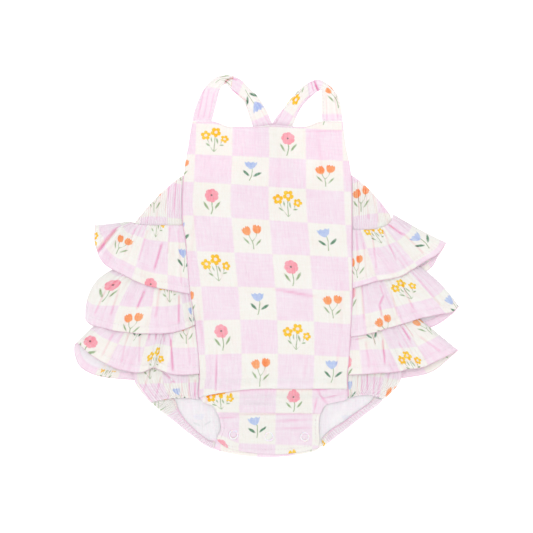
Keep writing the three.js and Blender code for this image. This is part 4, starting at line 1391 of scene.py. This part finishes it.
def make_muslin(name, ghost, paper):
    """Printed gauze. Ghost is the share of the print that shows, and paper the plain colour under it."""
    material, tree, shader = new_material(name)
    place = put(tree, "ShaderNodeUVMap", uv_map="print").outputs[0]
    printed = use(tree, PRINT, Place=place)["Color"]
    facing = put(tree, "ShaderNodeAttribute", attribute_name="facing").outputs["Fac"]
    share = calc(tree, "MAXIMUM", facing, ghost)
    colour = blend(tree, share, paper, printed)
    gauze = use(tree, GAUZE, Place=place)
    # Painted shade in creases and along listed shade lines: a stronger gamma and a dark pink multiply on the
    # print's colour
    painted_shade = put(tree, "ShaderNodeAttribute", attribute_name="painted_shade").outputs["Fac"]
    # Painted shade and highlight from the gauze's puckers: a gamma that darkens the hollows and pales the
    # puckers
    pucker_shade = calc(tree, "MULTIPLY_ADD", gauze["Tone"], PUCKER_SHADE_CHANGE, PUCKER_SHADE_START)
    shade_gamma = calc(tree, "MULTIPLY_ADD", painted_shade, PAINTED_CREASE_GAMMA, pucker_shade)
    shade_gamma = calc(tree, "MAXIMUM", shade_gamma, SHADE_GAMMA_LEAST)
    deep = put(tree, "ShaderNodeGamma", {"Color": colour, "Gamma": shade_gamma}).outputs[0]
    shade_share = calc(tree, "MULTIPLY", painted_shade, PAINTED_SHADE_RAMP, clamp=True)
    shaded = blend(tree, 1.0, deep, blend(tree, shade_share, CLOTH_SHADE, PAINTED_CREASE_SHADE), mode="MULTIPLY")
    tree.links.new(shaded, shader.inputs["Base Color"])
    rough = calc(tree, "MULTIPLY_ADD", gauze["Tone"], ROUGH_CHANGE, ROUGH_START)
    tree.links.new(rough, shader.inputs["Roughness"])
    bump = put(tree, "ShaderNodeBump", {"Height": gauze["Height"], "Distance": CRINKLE, "Strength": 1.0})
    tree.links.new(bump.outputs[0], shader.inputs["Normal"])
    shader.inputs["Subsurface Weight"].default_value = LIGHT_THROUGH
    shader.inputs["Subsurface Radius"].default_value = (1.0, 0.82, 0.9)
    shader.inputs["Subsurface Scale"].default_value = 0.0009
    shader.inputs["Specular IOR Level"].default_value = 0.15
    shader.inputs["Sheen Weight"].default_value = 0.1
    shader.inputs["Sheen Roughness"].default_value = 0.6
    return material


def make_thread(name, dark, light):
    material, tree, shader = new_material(name)
    place = put(tree, "ShaderNodeTexCoord").outputs["Object"]
    twist = put(tree, "ShaderNodeTexWave", {"Vector": place, "Scale": 900.0, "Distortion": 1.0})
    # Painted shade along the twist: dark in its grooves and light on its ridges, following the wave that
    # makes the bump
    colour = blend(tree, twist.outputs[0], dark, light)
    tree.links.new(colour, shader.inputs["Base Color"])
    bump = put(tree, "ShaderNodeBump", {"Height": twist.outputs[0], "Distance": 0.0001})
    tree.links.new(bump.outputs[0], shader.inputs["Normal"])
    shader.inputs["Roughness"].default_value = 0.7
    return material


def make_snap_plastic():
    material, tree, shader = new_material("milky snap plastic")
    place = put(tree, "ShaderNodeTexCoord").outputs["Object"]
    cloud = put(tree, "ShaderNodeTexNoise", {"Vector": place, "Scale": 260.0, "Detail": 2.0}).outputs[0]
    colour = blend(tree, cloud, srgb(246, 236, 246), srgb(252, 248, 252))
    tree.links.new(colour, shader.inputs["Base Color"])
    rough = calc(tree, "MULTIPLY_ADD", cloud, 0.15, 0.42)
    tree.links.new(rough, shader.inputs["Roughness"])
    shader.inputs["Subsurface Weight"].default_value = 0.5
    shader.inputs["Subsurface Scale"].default_value = 0.002
    return material


def make_floor_material():
    material, tree, shader = new_material("pale floor")
    place = put(tree, "ShaderNodeTexCoord").outputs["Object"]
    grain = put(tree, "ShaderNodeTexNoise", {"Vector": place, "Scale": 40.0, "Detail": 2.0}).outputs[0]
    colour = blend(tree, grain, (0.9, 0.9, 0.9, 1), (0.92, 0.92, 0.92, 1))
    tree.links.new(colour, shader.inputs["Base Color"])
    shader.inputs["Roughness"].default_value = 0.9
    shader.inputs["Emission Color"].default_value = (1, 1, 1, 1)
    shader.inputs["Emission Strength"].default_value = 0.45
    return material


INSIDE = srgb(243, 241, 244)
PRINT_SHOWS_THROUGH = 0.11
MUSLIN = make_muslin("printed muslin", 1.0, CREAM)
MUSLIN_INSIDE = make_muslin("printed muslin inside", PRINT_SHOWS_THROUGH, INSIDE)
THREAD = make_thread("sewing thread", srgb(236, 206, 222), srgb(250, 232, 240))
# Rolled edges of seams and hems: real turned edges of the cloth, coloured dark pink to paint a shadow line in
# the seam's slot and under each hem
ROLL_PAINTED_SHADE = make_thread("rolled edge painted shade", srgb(242, 180, 212), srgb(249, 210, 230))
SNAP_PLASTIC = make_snap_plastic()


# Cloth meshes

CREASE_PASSES = 3
CREASE_LEAST = -0.25
CREASE_MOST = 0.6
CREASE_SPREAD = 0.6  # the share that each pass takes from a vertex's neighbours
PAINTED_TROUGH_SHADE = 0.085  # how much painted shade a listed trough adds, for each millimetre it sinks


def lay_cloth(name, middle, print_place, segments, thickness, shade_troughs, printed_below=False, facing=None):
    """A grid of quads laid on middle(u, v), with its print coordinates, painted shade for its creases and
    listed troughs, and thickness.
    """
    across, down = segments
    bm = bmesh.new()
    bmesh.ops.create_grid(bm, x_segments=across, y_segments=down, size=0.5)
    bm.verts.ensure_lookup_table()
    shares = [(v.co.x + 0.5, v.co.y + 0.5) for v in bm.verts]
    for v, (u, w) in zip(bm.verts, shares):
        v.co = Vector(middle(u, w)) * MM
    bm.normal_update()
    if printed_below:
        bmesh.ops.reverse_faces(bm, faces=bm.faces)
        bm.normal_update()
    places = [print_place(u, w) for u, w in shares]
    uv = bm.loops.layers.uv.new("print")
    for face in bm.faces:
        for loop in face.loops:
            loop[uv].uv = places[loop.vert.index]
    mark_painted_shade(bm, [max(0, -shade_troughs(u, w)) * PAINTED_TROUGH_SHADE for u, w in shares])
    turned_edge = bm.verts.layers.float.new("facing")
    if facing:
        for v, (u, w) in zip(bm.verts, shares):
            v[turned_edge] = facing(u, w)
    for face in bm.faces:
        face.smooth = True
    piece = add_mesh(name, bm, [MUSLIN, MUSLIN_INSIDE])
    shell = piece.modifiers.new("cloth thickness", "SOLIDIFY")
    shell.thickness = thickness * MM
    shell.offset = 0
    shell.material_offset = 1
    shell.use_even_offset = True
    shell.thickness_clamp = 1.5
    return piece


def mark_painted_shade(bm, listed_shade):
    """Gives each vertex its painted shade: how far it lies in a trough by its shape, plus the shade of the
    listed troughs and shade lines.
    """
    deep = []
    for v in bm.verts:
        rise = 0.0
        for edge in v.link_edges:
            step = edge.other_vert(v).co - v.co
            rise += step.dot(v.normal) / max(step.length, 1e-7)
        deep.append(max(CREASE_LEAST, min(CREASE_MOST, rise / len(v.link_edges))))
    for _ in range(CREASE_PASSES):
        around = []
        for v in bm.verts:
            around.append(sum(deep[edge.other_vert(v).index] for edge in v.link_edges) / len(v.link_edges))
        deep = [lerp(own, near, CREASE_SPREAD) for own, near in zip(deep, around)]
    layer = bm.verts.layers.float.new("painted_shade")
    for v in bm.verts:
        v[layer] = min(1, deep[v.index] + listed_shade[v.index])


def add_mesh(name, bm, materials):
    mesh = bpy.data.meshes.new(name)
    bm.to_mesh(mesh)
    bm.free()
    for material in materials:
        mesh.materials.append(material)
    piece = bpy.data.objects.new(name, mesh)
    bpy.context.scene.collection.objects.link(piece)
    return piece


def on_top(middle, lift):
    """A function that gives the point above a cloth's middle at u, v, and the cloth's normal there."""
    step = 0.002

    def place(u, v):
        here = Vector(middle(u, v))
        along_u = Vector(middle(u + step, v)) - Vector(middle(u - step, v))
        along_v = Vector(middle(u, v + step)) - Vector(middle(u, v - step))
        normal = along_u.cross(along_v).normalized()
        if normal.z < 0:
            normal.negate()
        return here + normal * lift, normal

    return place


STITCH = 2.3
STITCH_GAP = 0.9
STITCH_WIDE = 0.4
STITCH_HIGH = 0.24
SEWING_STEP = 0.5  # how finely a row of stitches is measured out
ROUGH_STEPS = 40  # steps that give a row's length first
ROLL_SIDES = 8
ROLL_STEPS = 260
HEM_ROLL_STEPS = 16
ROLL_RADIUS = 0.42
ROLL_FROM_Y = 95
ROLL_TO_Y = -137
SEAM_ROLL_UP = 0.25  # how far the seam's rolled edge is above the middle of the front's edge
HEM_ROLL_DOWN = 0.3  # and a hem's is below the middle of its cloth


def seam_roll(on_left):
    def centre(t):
        y = lerp(ROLL_FROM_Y, ROLL_TO_Y, t)
        by_tiers = ease(*TIERS_FROM_Y, y) * ease(*TIERS_TO_Y, y)
        inward = SEAM / 2 if on_left else -SEAM / 2
        return seam_x(on_left, y) + inward, y, lerp(FRONT_EDGE, FRONT_EDGE_BY_TIERS, by_tiers) + SEAM_ROLL_UP

    return centre, lambda t: (1, 0, 0), ROLL_STEPS


def hem_roll(name):
    rows = TIERS[name]
    last = len(rows) - 1

    def centre(t):
        x, y, z = tier_middle(name, t * last, 1)
        return x, y, z - HEM_ROLL_DOWN

    def sideways(t):
        across = along(rows, "hem_x", t * last) - along(rows, "top_x", t * last)
        return across, along(rows, "hem_y", t * last) - along(rows, "top_y", t * last), 0

    return centre, sideways, HEM_ROLL_STEPS * last


def sew(bm, middle, thickness, path):
    """Stitches on top of a cloth along path(t), t from 0 to 1, one after another with small gaps."""
    place = on_top(middle, thickness / 2)
    rough_path = [place(*path(k / ROUGH_STEPS))[0] for k in range(ROUGH_STEPS + 1)]
    length = sum((b - a).length for a, b in zip(rough_path, rough_path[1:]))
    steps = max(2, round(length / SEWING_STEP))
    travelled = 0.0
    start = None
    before = None
    for k in range(steps + 1):
        here, normal = place(*path(k / steps))
        if before is not None:
            travelled += (here - before).length
        before = here
        if start is None and travelled >= 0:
            start = here
            travelled = 0.0
        elif start is not None and travelled >= STITCH:
            way = (here - start).normalized()
            side = normal.cross(way).normalized()
            up = way.cross(side)
            shape = (way * STITCH / 2, side * STITCH_WIDE / 2, up * STITCH_HIGH / 2)
            matrix = Matrix(shape).transposed().to_4x4()
            matrix.translation = (start + here) / 2
            bmesh.ops.create_icosphere(bm, subdivisions=1, radius=1, matrix=Matrix.Scale(MM, 4) @ matrix)
            travelled = -STITCH_GAP
            start = None


def roll_edge(bm, centre, sideways, steps):
    """The rolled edge of a seam or a hem: a thin tube along centre(t), t from 0 to 1, coloured as a painted
    shadow line.
    """
    grid = bmesh.ops.create_grid(bm, x_segments=steps, y_segments=ROLL_SIDES, size=0.5)["verts"]
    for v in grid:
        t = v.co.x + 0.5
        turn = 2 * math.pi * (v.co.y + 0.5)
        way = Vector(centre(min(1, t + 0.5 / steps))) - Vector(centre(max(0, t - 0.5 / steps)))
        side = Vector(sideways(t)).normalized()
        up = way.cross(side).normalized()
        v.co = (Vector(centre(t)) + ROLL_RADIUS * (math.cos(turn) * side + math.sin(turn) * up)) * MM
    for face in {face for v in grid for face in v.link_faces}:
        face.material_index = 1
    bmesh.ops.remove_doubles(bm, verts=grid, dist=MM / 100)


def sewing(name, lines, edges):
    """The stitches and rolled edges of one cloth, the edges coloured as painted shadow lines: lines of
    (middle, thickness, path), edges for roll_edge.
    """
    bm = bmesh.new()
    for centre, sideways, steps in edges:
        roll_edge(bm, centre, sideways, steps)
    for middle, thickness, path in lines:
        sew(bm, middle, thickness, path)
    for face in bm.faces:
        face.smooth = True
    return add_mesh(name, bm, [THREAD, ROLL_PAINTED_SHADE])


# The garment


def front_place(v):
    return between(FRONT_PACE, "share", "place", v)


def front_v(place):
    return between(FRONT_PACE, "place", "share", place)


def straight(u_from, v_from, u_to, v_to):
    return lambda t: (lerp(u_from, u_to, t), lerp(v_from, v_to, t))


def painted_flap_shadow(x, y):
    """The painted shadow just under the flap above the crotch, given as how deep a trough would be."""
    droop = FLAP_DROOP_LEFT if x < 0 else FLAP_DROOP_RIGHT
    t = (y - FLAP_Y + droop * (x / FLAP_HALF) ** 2) / FLAP_REACH
    return -PAINTED_FLAP_SHADOW * hump(t, PAINTED_FLAP_SHADOW_AT, PAINTED_FLAP_SHADOW_WIDE) * ease(*PAINTED_FLAP_SHADOW_ENDS_X, abs(x))


# Rows of stitches on the front: below the neckline, under the flap, along the crotch edge, and down the two
# leg edges
FRONT_STITCHES = table("from_across from_row to_across to_row", [
    (0.14, 0.13, 0.86, 0.13),
    (0.02, 11.72, 0.98, 11.72),
    (0.03, 14.5, 0.97, 14.5),
    (0.035, 11.9, 0.035, 14.4),
    (0.965, 11.9, 0.965, 14.4),
])


def make_front():
    def middle(u, v):
        return front_middle(u, front_place(v))

    def print_place(u, v):
        return front_print(u, front_place(v))

    def shade_troughs(u, v):
        x, y = front_flat(u, front_place(v))
        return crease_height(FRONT_CREASES, x, y) + painted_flap_shadow(x, y)

    cloth = lay_cloth("front panel", middle, print_place, (150, 250), CLOTH, shade_troughs, printed_below=True)
    lines = []
    for row in FRONT_STITCHES:
        start = (row["from_across"], front_v(row["from_row"]))
        lines.append((middle, CLOTH, straight(*start, row["to_across"], front_v(row["to_row"]))))
    return cloth, lines


# Rows of stitches across the back and the sides, by the rows of their tables, and along the straps' edges
BACK_STITCHES = table("row start end", [(0.25, 0.02, 0.98), (12.6, 0.04, 0.96)])
SIDE_STITCHES = table("row start end", [(0.15, 0.02, 0.98), (5.75, 0.02, 0.98)])
STRAP_SEWN_AT = (0.1, 0.9)


def sewn_across(middle, stitches, last):
    lines = []
    for s in stitches:
        lines.append((middle, CLOTH, straight(s["start"], s["row"] / last, s["end"], s["row"] / last)))
    return lines


def make_back():
    last = len(BACK_ROWS) - 1

    def middle(u, v):
        return back_middle(u, v * last)

    def print_place(u, v):
        return back_print(u, v * last)

    def facing(u, v):
        by_left_leg = ease(*BACK_LEFT_FROM, u) * ease(*BACK_LEFT_TO, u)
        return max(ease(*BACK_SHOWS_PRINT, v * last), ease(*BACK_SHOWS_PRINT_LEFT, v * last) * by_left_leg)

    def shade_troughs(_, __):
        return 0

    cloth = lay_cloth("back panel", middle, print_place, (130, 120), CLOTH, shade_troughs, facing=facing)
    return cloth, sewn_across(middle, BACK_STITCHES, last)


def make_side(name):
    last = len(SIDES[name]) - 1

    def middle(u, v):
        return side_middle(name, u, v * last)

    def print_place(u, v):
        return side_print(name, u, v * last)

    def shade_troughs(u, v):
        x, y, _ = middle(u, v)
        return line_height(SIDE_LINES, x, y)

    below = name == "side_right"
    cloth = lay_cloth(name, middle, print_place, (120, 130), CLOTH, shade_troughs, printed_below=below)
    return cloth, sewn_across(middle, SIDE_STITCHES, last)


def make_tier(name):
    last = len(TIERS[name]) - 1

    def middle(u, v):
        return tier_middle(name, u * last, v)

    def print_place(u, v):
        return tier_print(name, u * last, v)

    def facing(u, v):
        return ease(*HEM_SHOWS_PRINT, (1 - v) * tier_length(name, u * last))

    def hem_seam(t):
        return t, 1 - HEM_SEAM / tier_length(name, t * last)

    def shade_troughs(u, v):
        x, y, _ = middle(u, v)
        return line_height(TIER_LINES[name], x, y) * ease(*IN_FRONT, along(TIERS[name], "layer", u * last))

    cloth = lay_cloth(name, middle, print_place, (18 * last, 52), CLOTH, shade_troughs, facing=facing)
    return cloth, [(middle, CLOTH, hem_seam)]


def make_strap(name):
    last = len(STRAPS[name]) - 1

    def middle(u, v):
        return strap_middle(name, u * last, v)

    def print_place(u, v):
        return strap_print(name, u * last, v)

    def shade_troughs(u, v):
        x, y, _ = middle(u, v)
        return line_height(STRAP_LINES[name], x, y)

    below = name == "strap_right"
    cloth = lay_cloth(name, middle, print_place, (16 * last, 32), STRAP_CLOTH, shade_troughs, printed_below=below)
    return cloth, [(middle, STRAP_CLOTH, straight(0, at, 1, at)) for at in STRAP_SEWN_AT]


def make_casing(name):
    last = len(CASINGS[name]) - 1

    def middle(u, v):
        return casing_middle(name, u * last, v)

    def print_place(u, v):
        return casing_print(name, u * last, v)

    def shade_troughs(_, v):
        return -PAINTED_CASING_EDGE_SHADOW * hump(v, 1, CASING_EDGE_WIDE)

    below = name == "leg_casing_right"
    cloth = lay_cloth(name, middle, print_place, (40 * last, 16), CASING_CLOTH, shade_troughs, printed_below=below)
    return cloth, [(middle, CASING_CLOTH, straight(0, CASING_SEWN_AT, 1, CASING_SEWN_AT))]


# What each cloth that shows was cut to before it was sewn in, in millimetres, and what it lies on
SHEETS = table("node width length area held rests_on", [
    ("front_panel", 182, 352, 0.058, "laid", ["back_panel"]),
    ("back_panel", 286, 292, 0.068, "laid", ["tier_1", "tier_2", "tier_3"]),
    ("side_left", 70, 210, None, "gathered", ["back_panel"]),
    ("side_right", 66, 208, None, "gathered", ["back_panel"]),
    ("tier_1", 600, 74, None, "gathered", ["back_panel"]),
    ("tier_2", 640, 68, None, "gathered", ["back_panel"]),
    ("tier_3", 680, 72, None, "gathered", ["back_panel"]),
    ("strap_left", 20, 208, None, "folded", ["back_panel"]),
    ("strap_right", 20, 188, None, "folded", ["back_panel"]),
    ("leg_casing_left", 88, 12, None, "gathered", ["back_panel"]),
    ("leg_casing_right", 82, 10, None, "gathered", ["back_panel"]),
])

made = {
    "front_panel": (*make_front(), [seam_roll(True), seam_roll(False)]),
    "back_panel": (*make_back(), []),
}
for names, make in ((SIDES, make_side), (STRAPS, make_strap), (CASINGS, make_casing)):
    for node_name in names:
        made[node_name] = (*make(node_name), [])
for node_name in TIERS:
    made[node_name] = (*make_tier(node_name), [hem_roll(node_name)])

for sheet in SHEETS:
    node_name = sheet["node"]
    cloth, lines, edges = made[node_name]
    cloth.name = node_name + "_cloth"
    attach(cloth, "root")
    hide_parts(node_name)
    stitches = sewing(node_name + "_stitches", lines, edges)
    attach(stitches, "root")
    rests_on = [rest + "_cloth" for rest in sheet["rests_on"]]

# Ring snaps

SNAP_RADIUS = 4.3
SNAP_RIM = 0.65
SNAPS = table("x y", [(-35.2, -177.2), (2.1, -179.3), (39.9, -179.3)])
SNAP_SIDES = 14
SNAP_STEPS = 56
PRONGS = 5
PRONG_TURN = 0.3
PRONG_AT = 3.35
PRONG_DOWN = 0.25
PRONG_RADIUS = 0.55
PRONG_SHAPE = (1.5, 0.7, 0.45, 1)  # long towards the ring, and flat


def make_snap(name, x, y):
    """An open ring with small prongs inside it that grip the cloth."""
    bm = bmesh.new()
    upright = Matrix.Translation((SNAP_RADIUS * MM, 0, 0)) @ Matrix.Rotation(math.pi / 2, 4, "X")
    rim = bmesh.ops.create_circle(bm, segments=SNAP_SIDES, radius=SNAP_RIM * MM, matrix=upright)["verts"]
    edges = [edge for edge in bm.edges if all(v in rim for v in edge.verts)]
    bmesh.ops.spin(bm, geom=rim + edges, axis=(0, 0, 1), angle=2 * math.pi, steps=SNAP_STEPS, use_merge=True)
    for k in range(PRONGS):
        turn = Matrix.Rotation(2 * math.pi * k / PRONGS + PRONG_TURN, 4, "Z")
        out = Matrix.Translation((PRONG_AT * MM, 0, -PRONG_DOWN * MM))
        matrix = turn @ out @ Matrix.Diagonal(PRONG_SHAPE)
        bmesh.ops.create_uvsphere(bm, u_segments=12, v_segments=8, radius=PRONG_RADIUS * MM, matrix=matrix)
    bmesh.ops.recalc_face_normals(bm, faces=bm.faces)
    slope = ease(*CROTCH_SLOPE_Y, y)
    height = lerp(CROTCH_LAY, CROTCH_HEM_LAY, slope) + CLOTH / 2 + SNAP_RIM
    bmesh.ops.translate(bm, vec=(x * MM, y * MM, height * MM), verts=bm.verts)
    for face in bm.faces:
        face.smooth = True
    return add_mesh(name, bm, [SNAP_PLASTIC])


for number, snap_place in enumerate(SNAPS, 1):
    ring = make_snap(f"snap_{number}_ring", snap_place["x"], snap_place["y"])
    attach(ring, "root")
    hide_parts(f"snap_{number}")

# Stage, in metres

FLOOR_SIZE = 3.0
FLOOR_Z = -0.0004
floor_mesh = bmesh.new()
bmesh.ops.create_grid(floor_mesh, x_segments=1, y_segments=1, size=FLOOR_SIZE)
for vert in floor_mesh.verts:
    vert.co.z = FLOOR_Z
floor = add_mesh("floor", floor_mesh, [make_floor_material()])

LENS = 85
SENSOR = 36
VIEW_WIDE = 0.5597
GARMENT_MIDDLE = 0.006
CAMERA_ASIDE = (-0.0005, -0.0003)
camera_data = bpy.data.cameras.new("camera")
camera_data.lens = LENS
camera_data.sensor_width = SENSOR
camera = bpy.data.objects.new("camera", camera_data)
camera.location = (*CAMERA_ASIDE, VIEW_WIDE * LENS / SENSOR + GARMENT_MIDDLE)
bpy.context.scene.collection.objects.link(camera)
bpy.context.scene.camera = camera


LIGHT_COLOUR = (0.84, 1.0, 0.93)
WORLD_COLOUR = (1, 0.93, 0.968, 1)
WORLD_STRENGTH = 0.755


def add_area_light(name, place, size, power):
    """A round light that faces the middle of the garment."""
    data = bpy.data.lights.new(name, "AREA")
    data.shape = "DISK"
    data.size = size
    data.energy = power
    data.color = LIGHT_COLOUR
    light = bpy.data.objects.new(name, data)
    light.location = place
    light.rotation_euler = (-Vector(place)).to_track_quat("-Z", "Y").to_euler()
    bpy.context.scene.collection.objects.link(light)


add_area_light("key light", place=(-1.0, 0.85, 2.6), size=1.4, power=24)
add_area_light("fill light", place=(1.2, -1.1, 2.2), size=1.6, power=16)
world = bpy.data.worlds.new("soft daylight")
world.use_nodes = True
world.node_tree.nodes["Background"].inputs[0].default_value = WORLD_COLOUR
world.node_tree.nodes["Background"].inputs[1].default_value = WORLD_STRENGTH
bpy.context.scene.world = world
bpy.context.scene.view_settings.view_transform = "Standard"
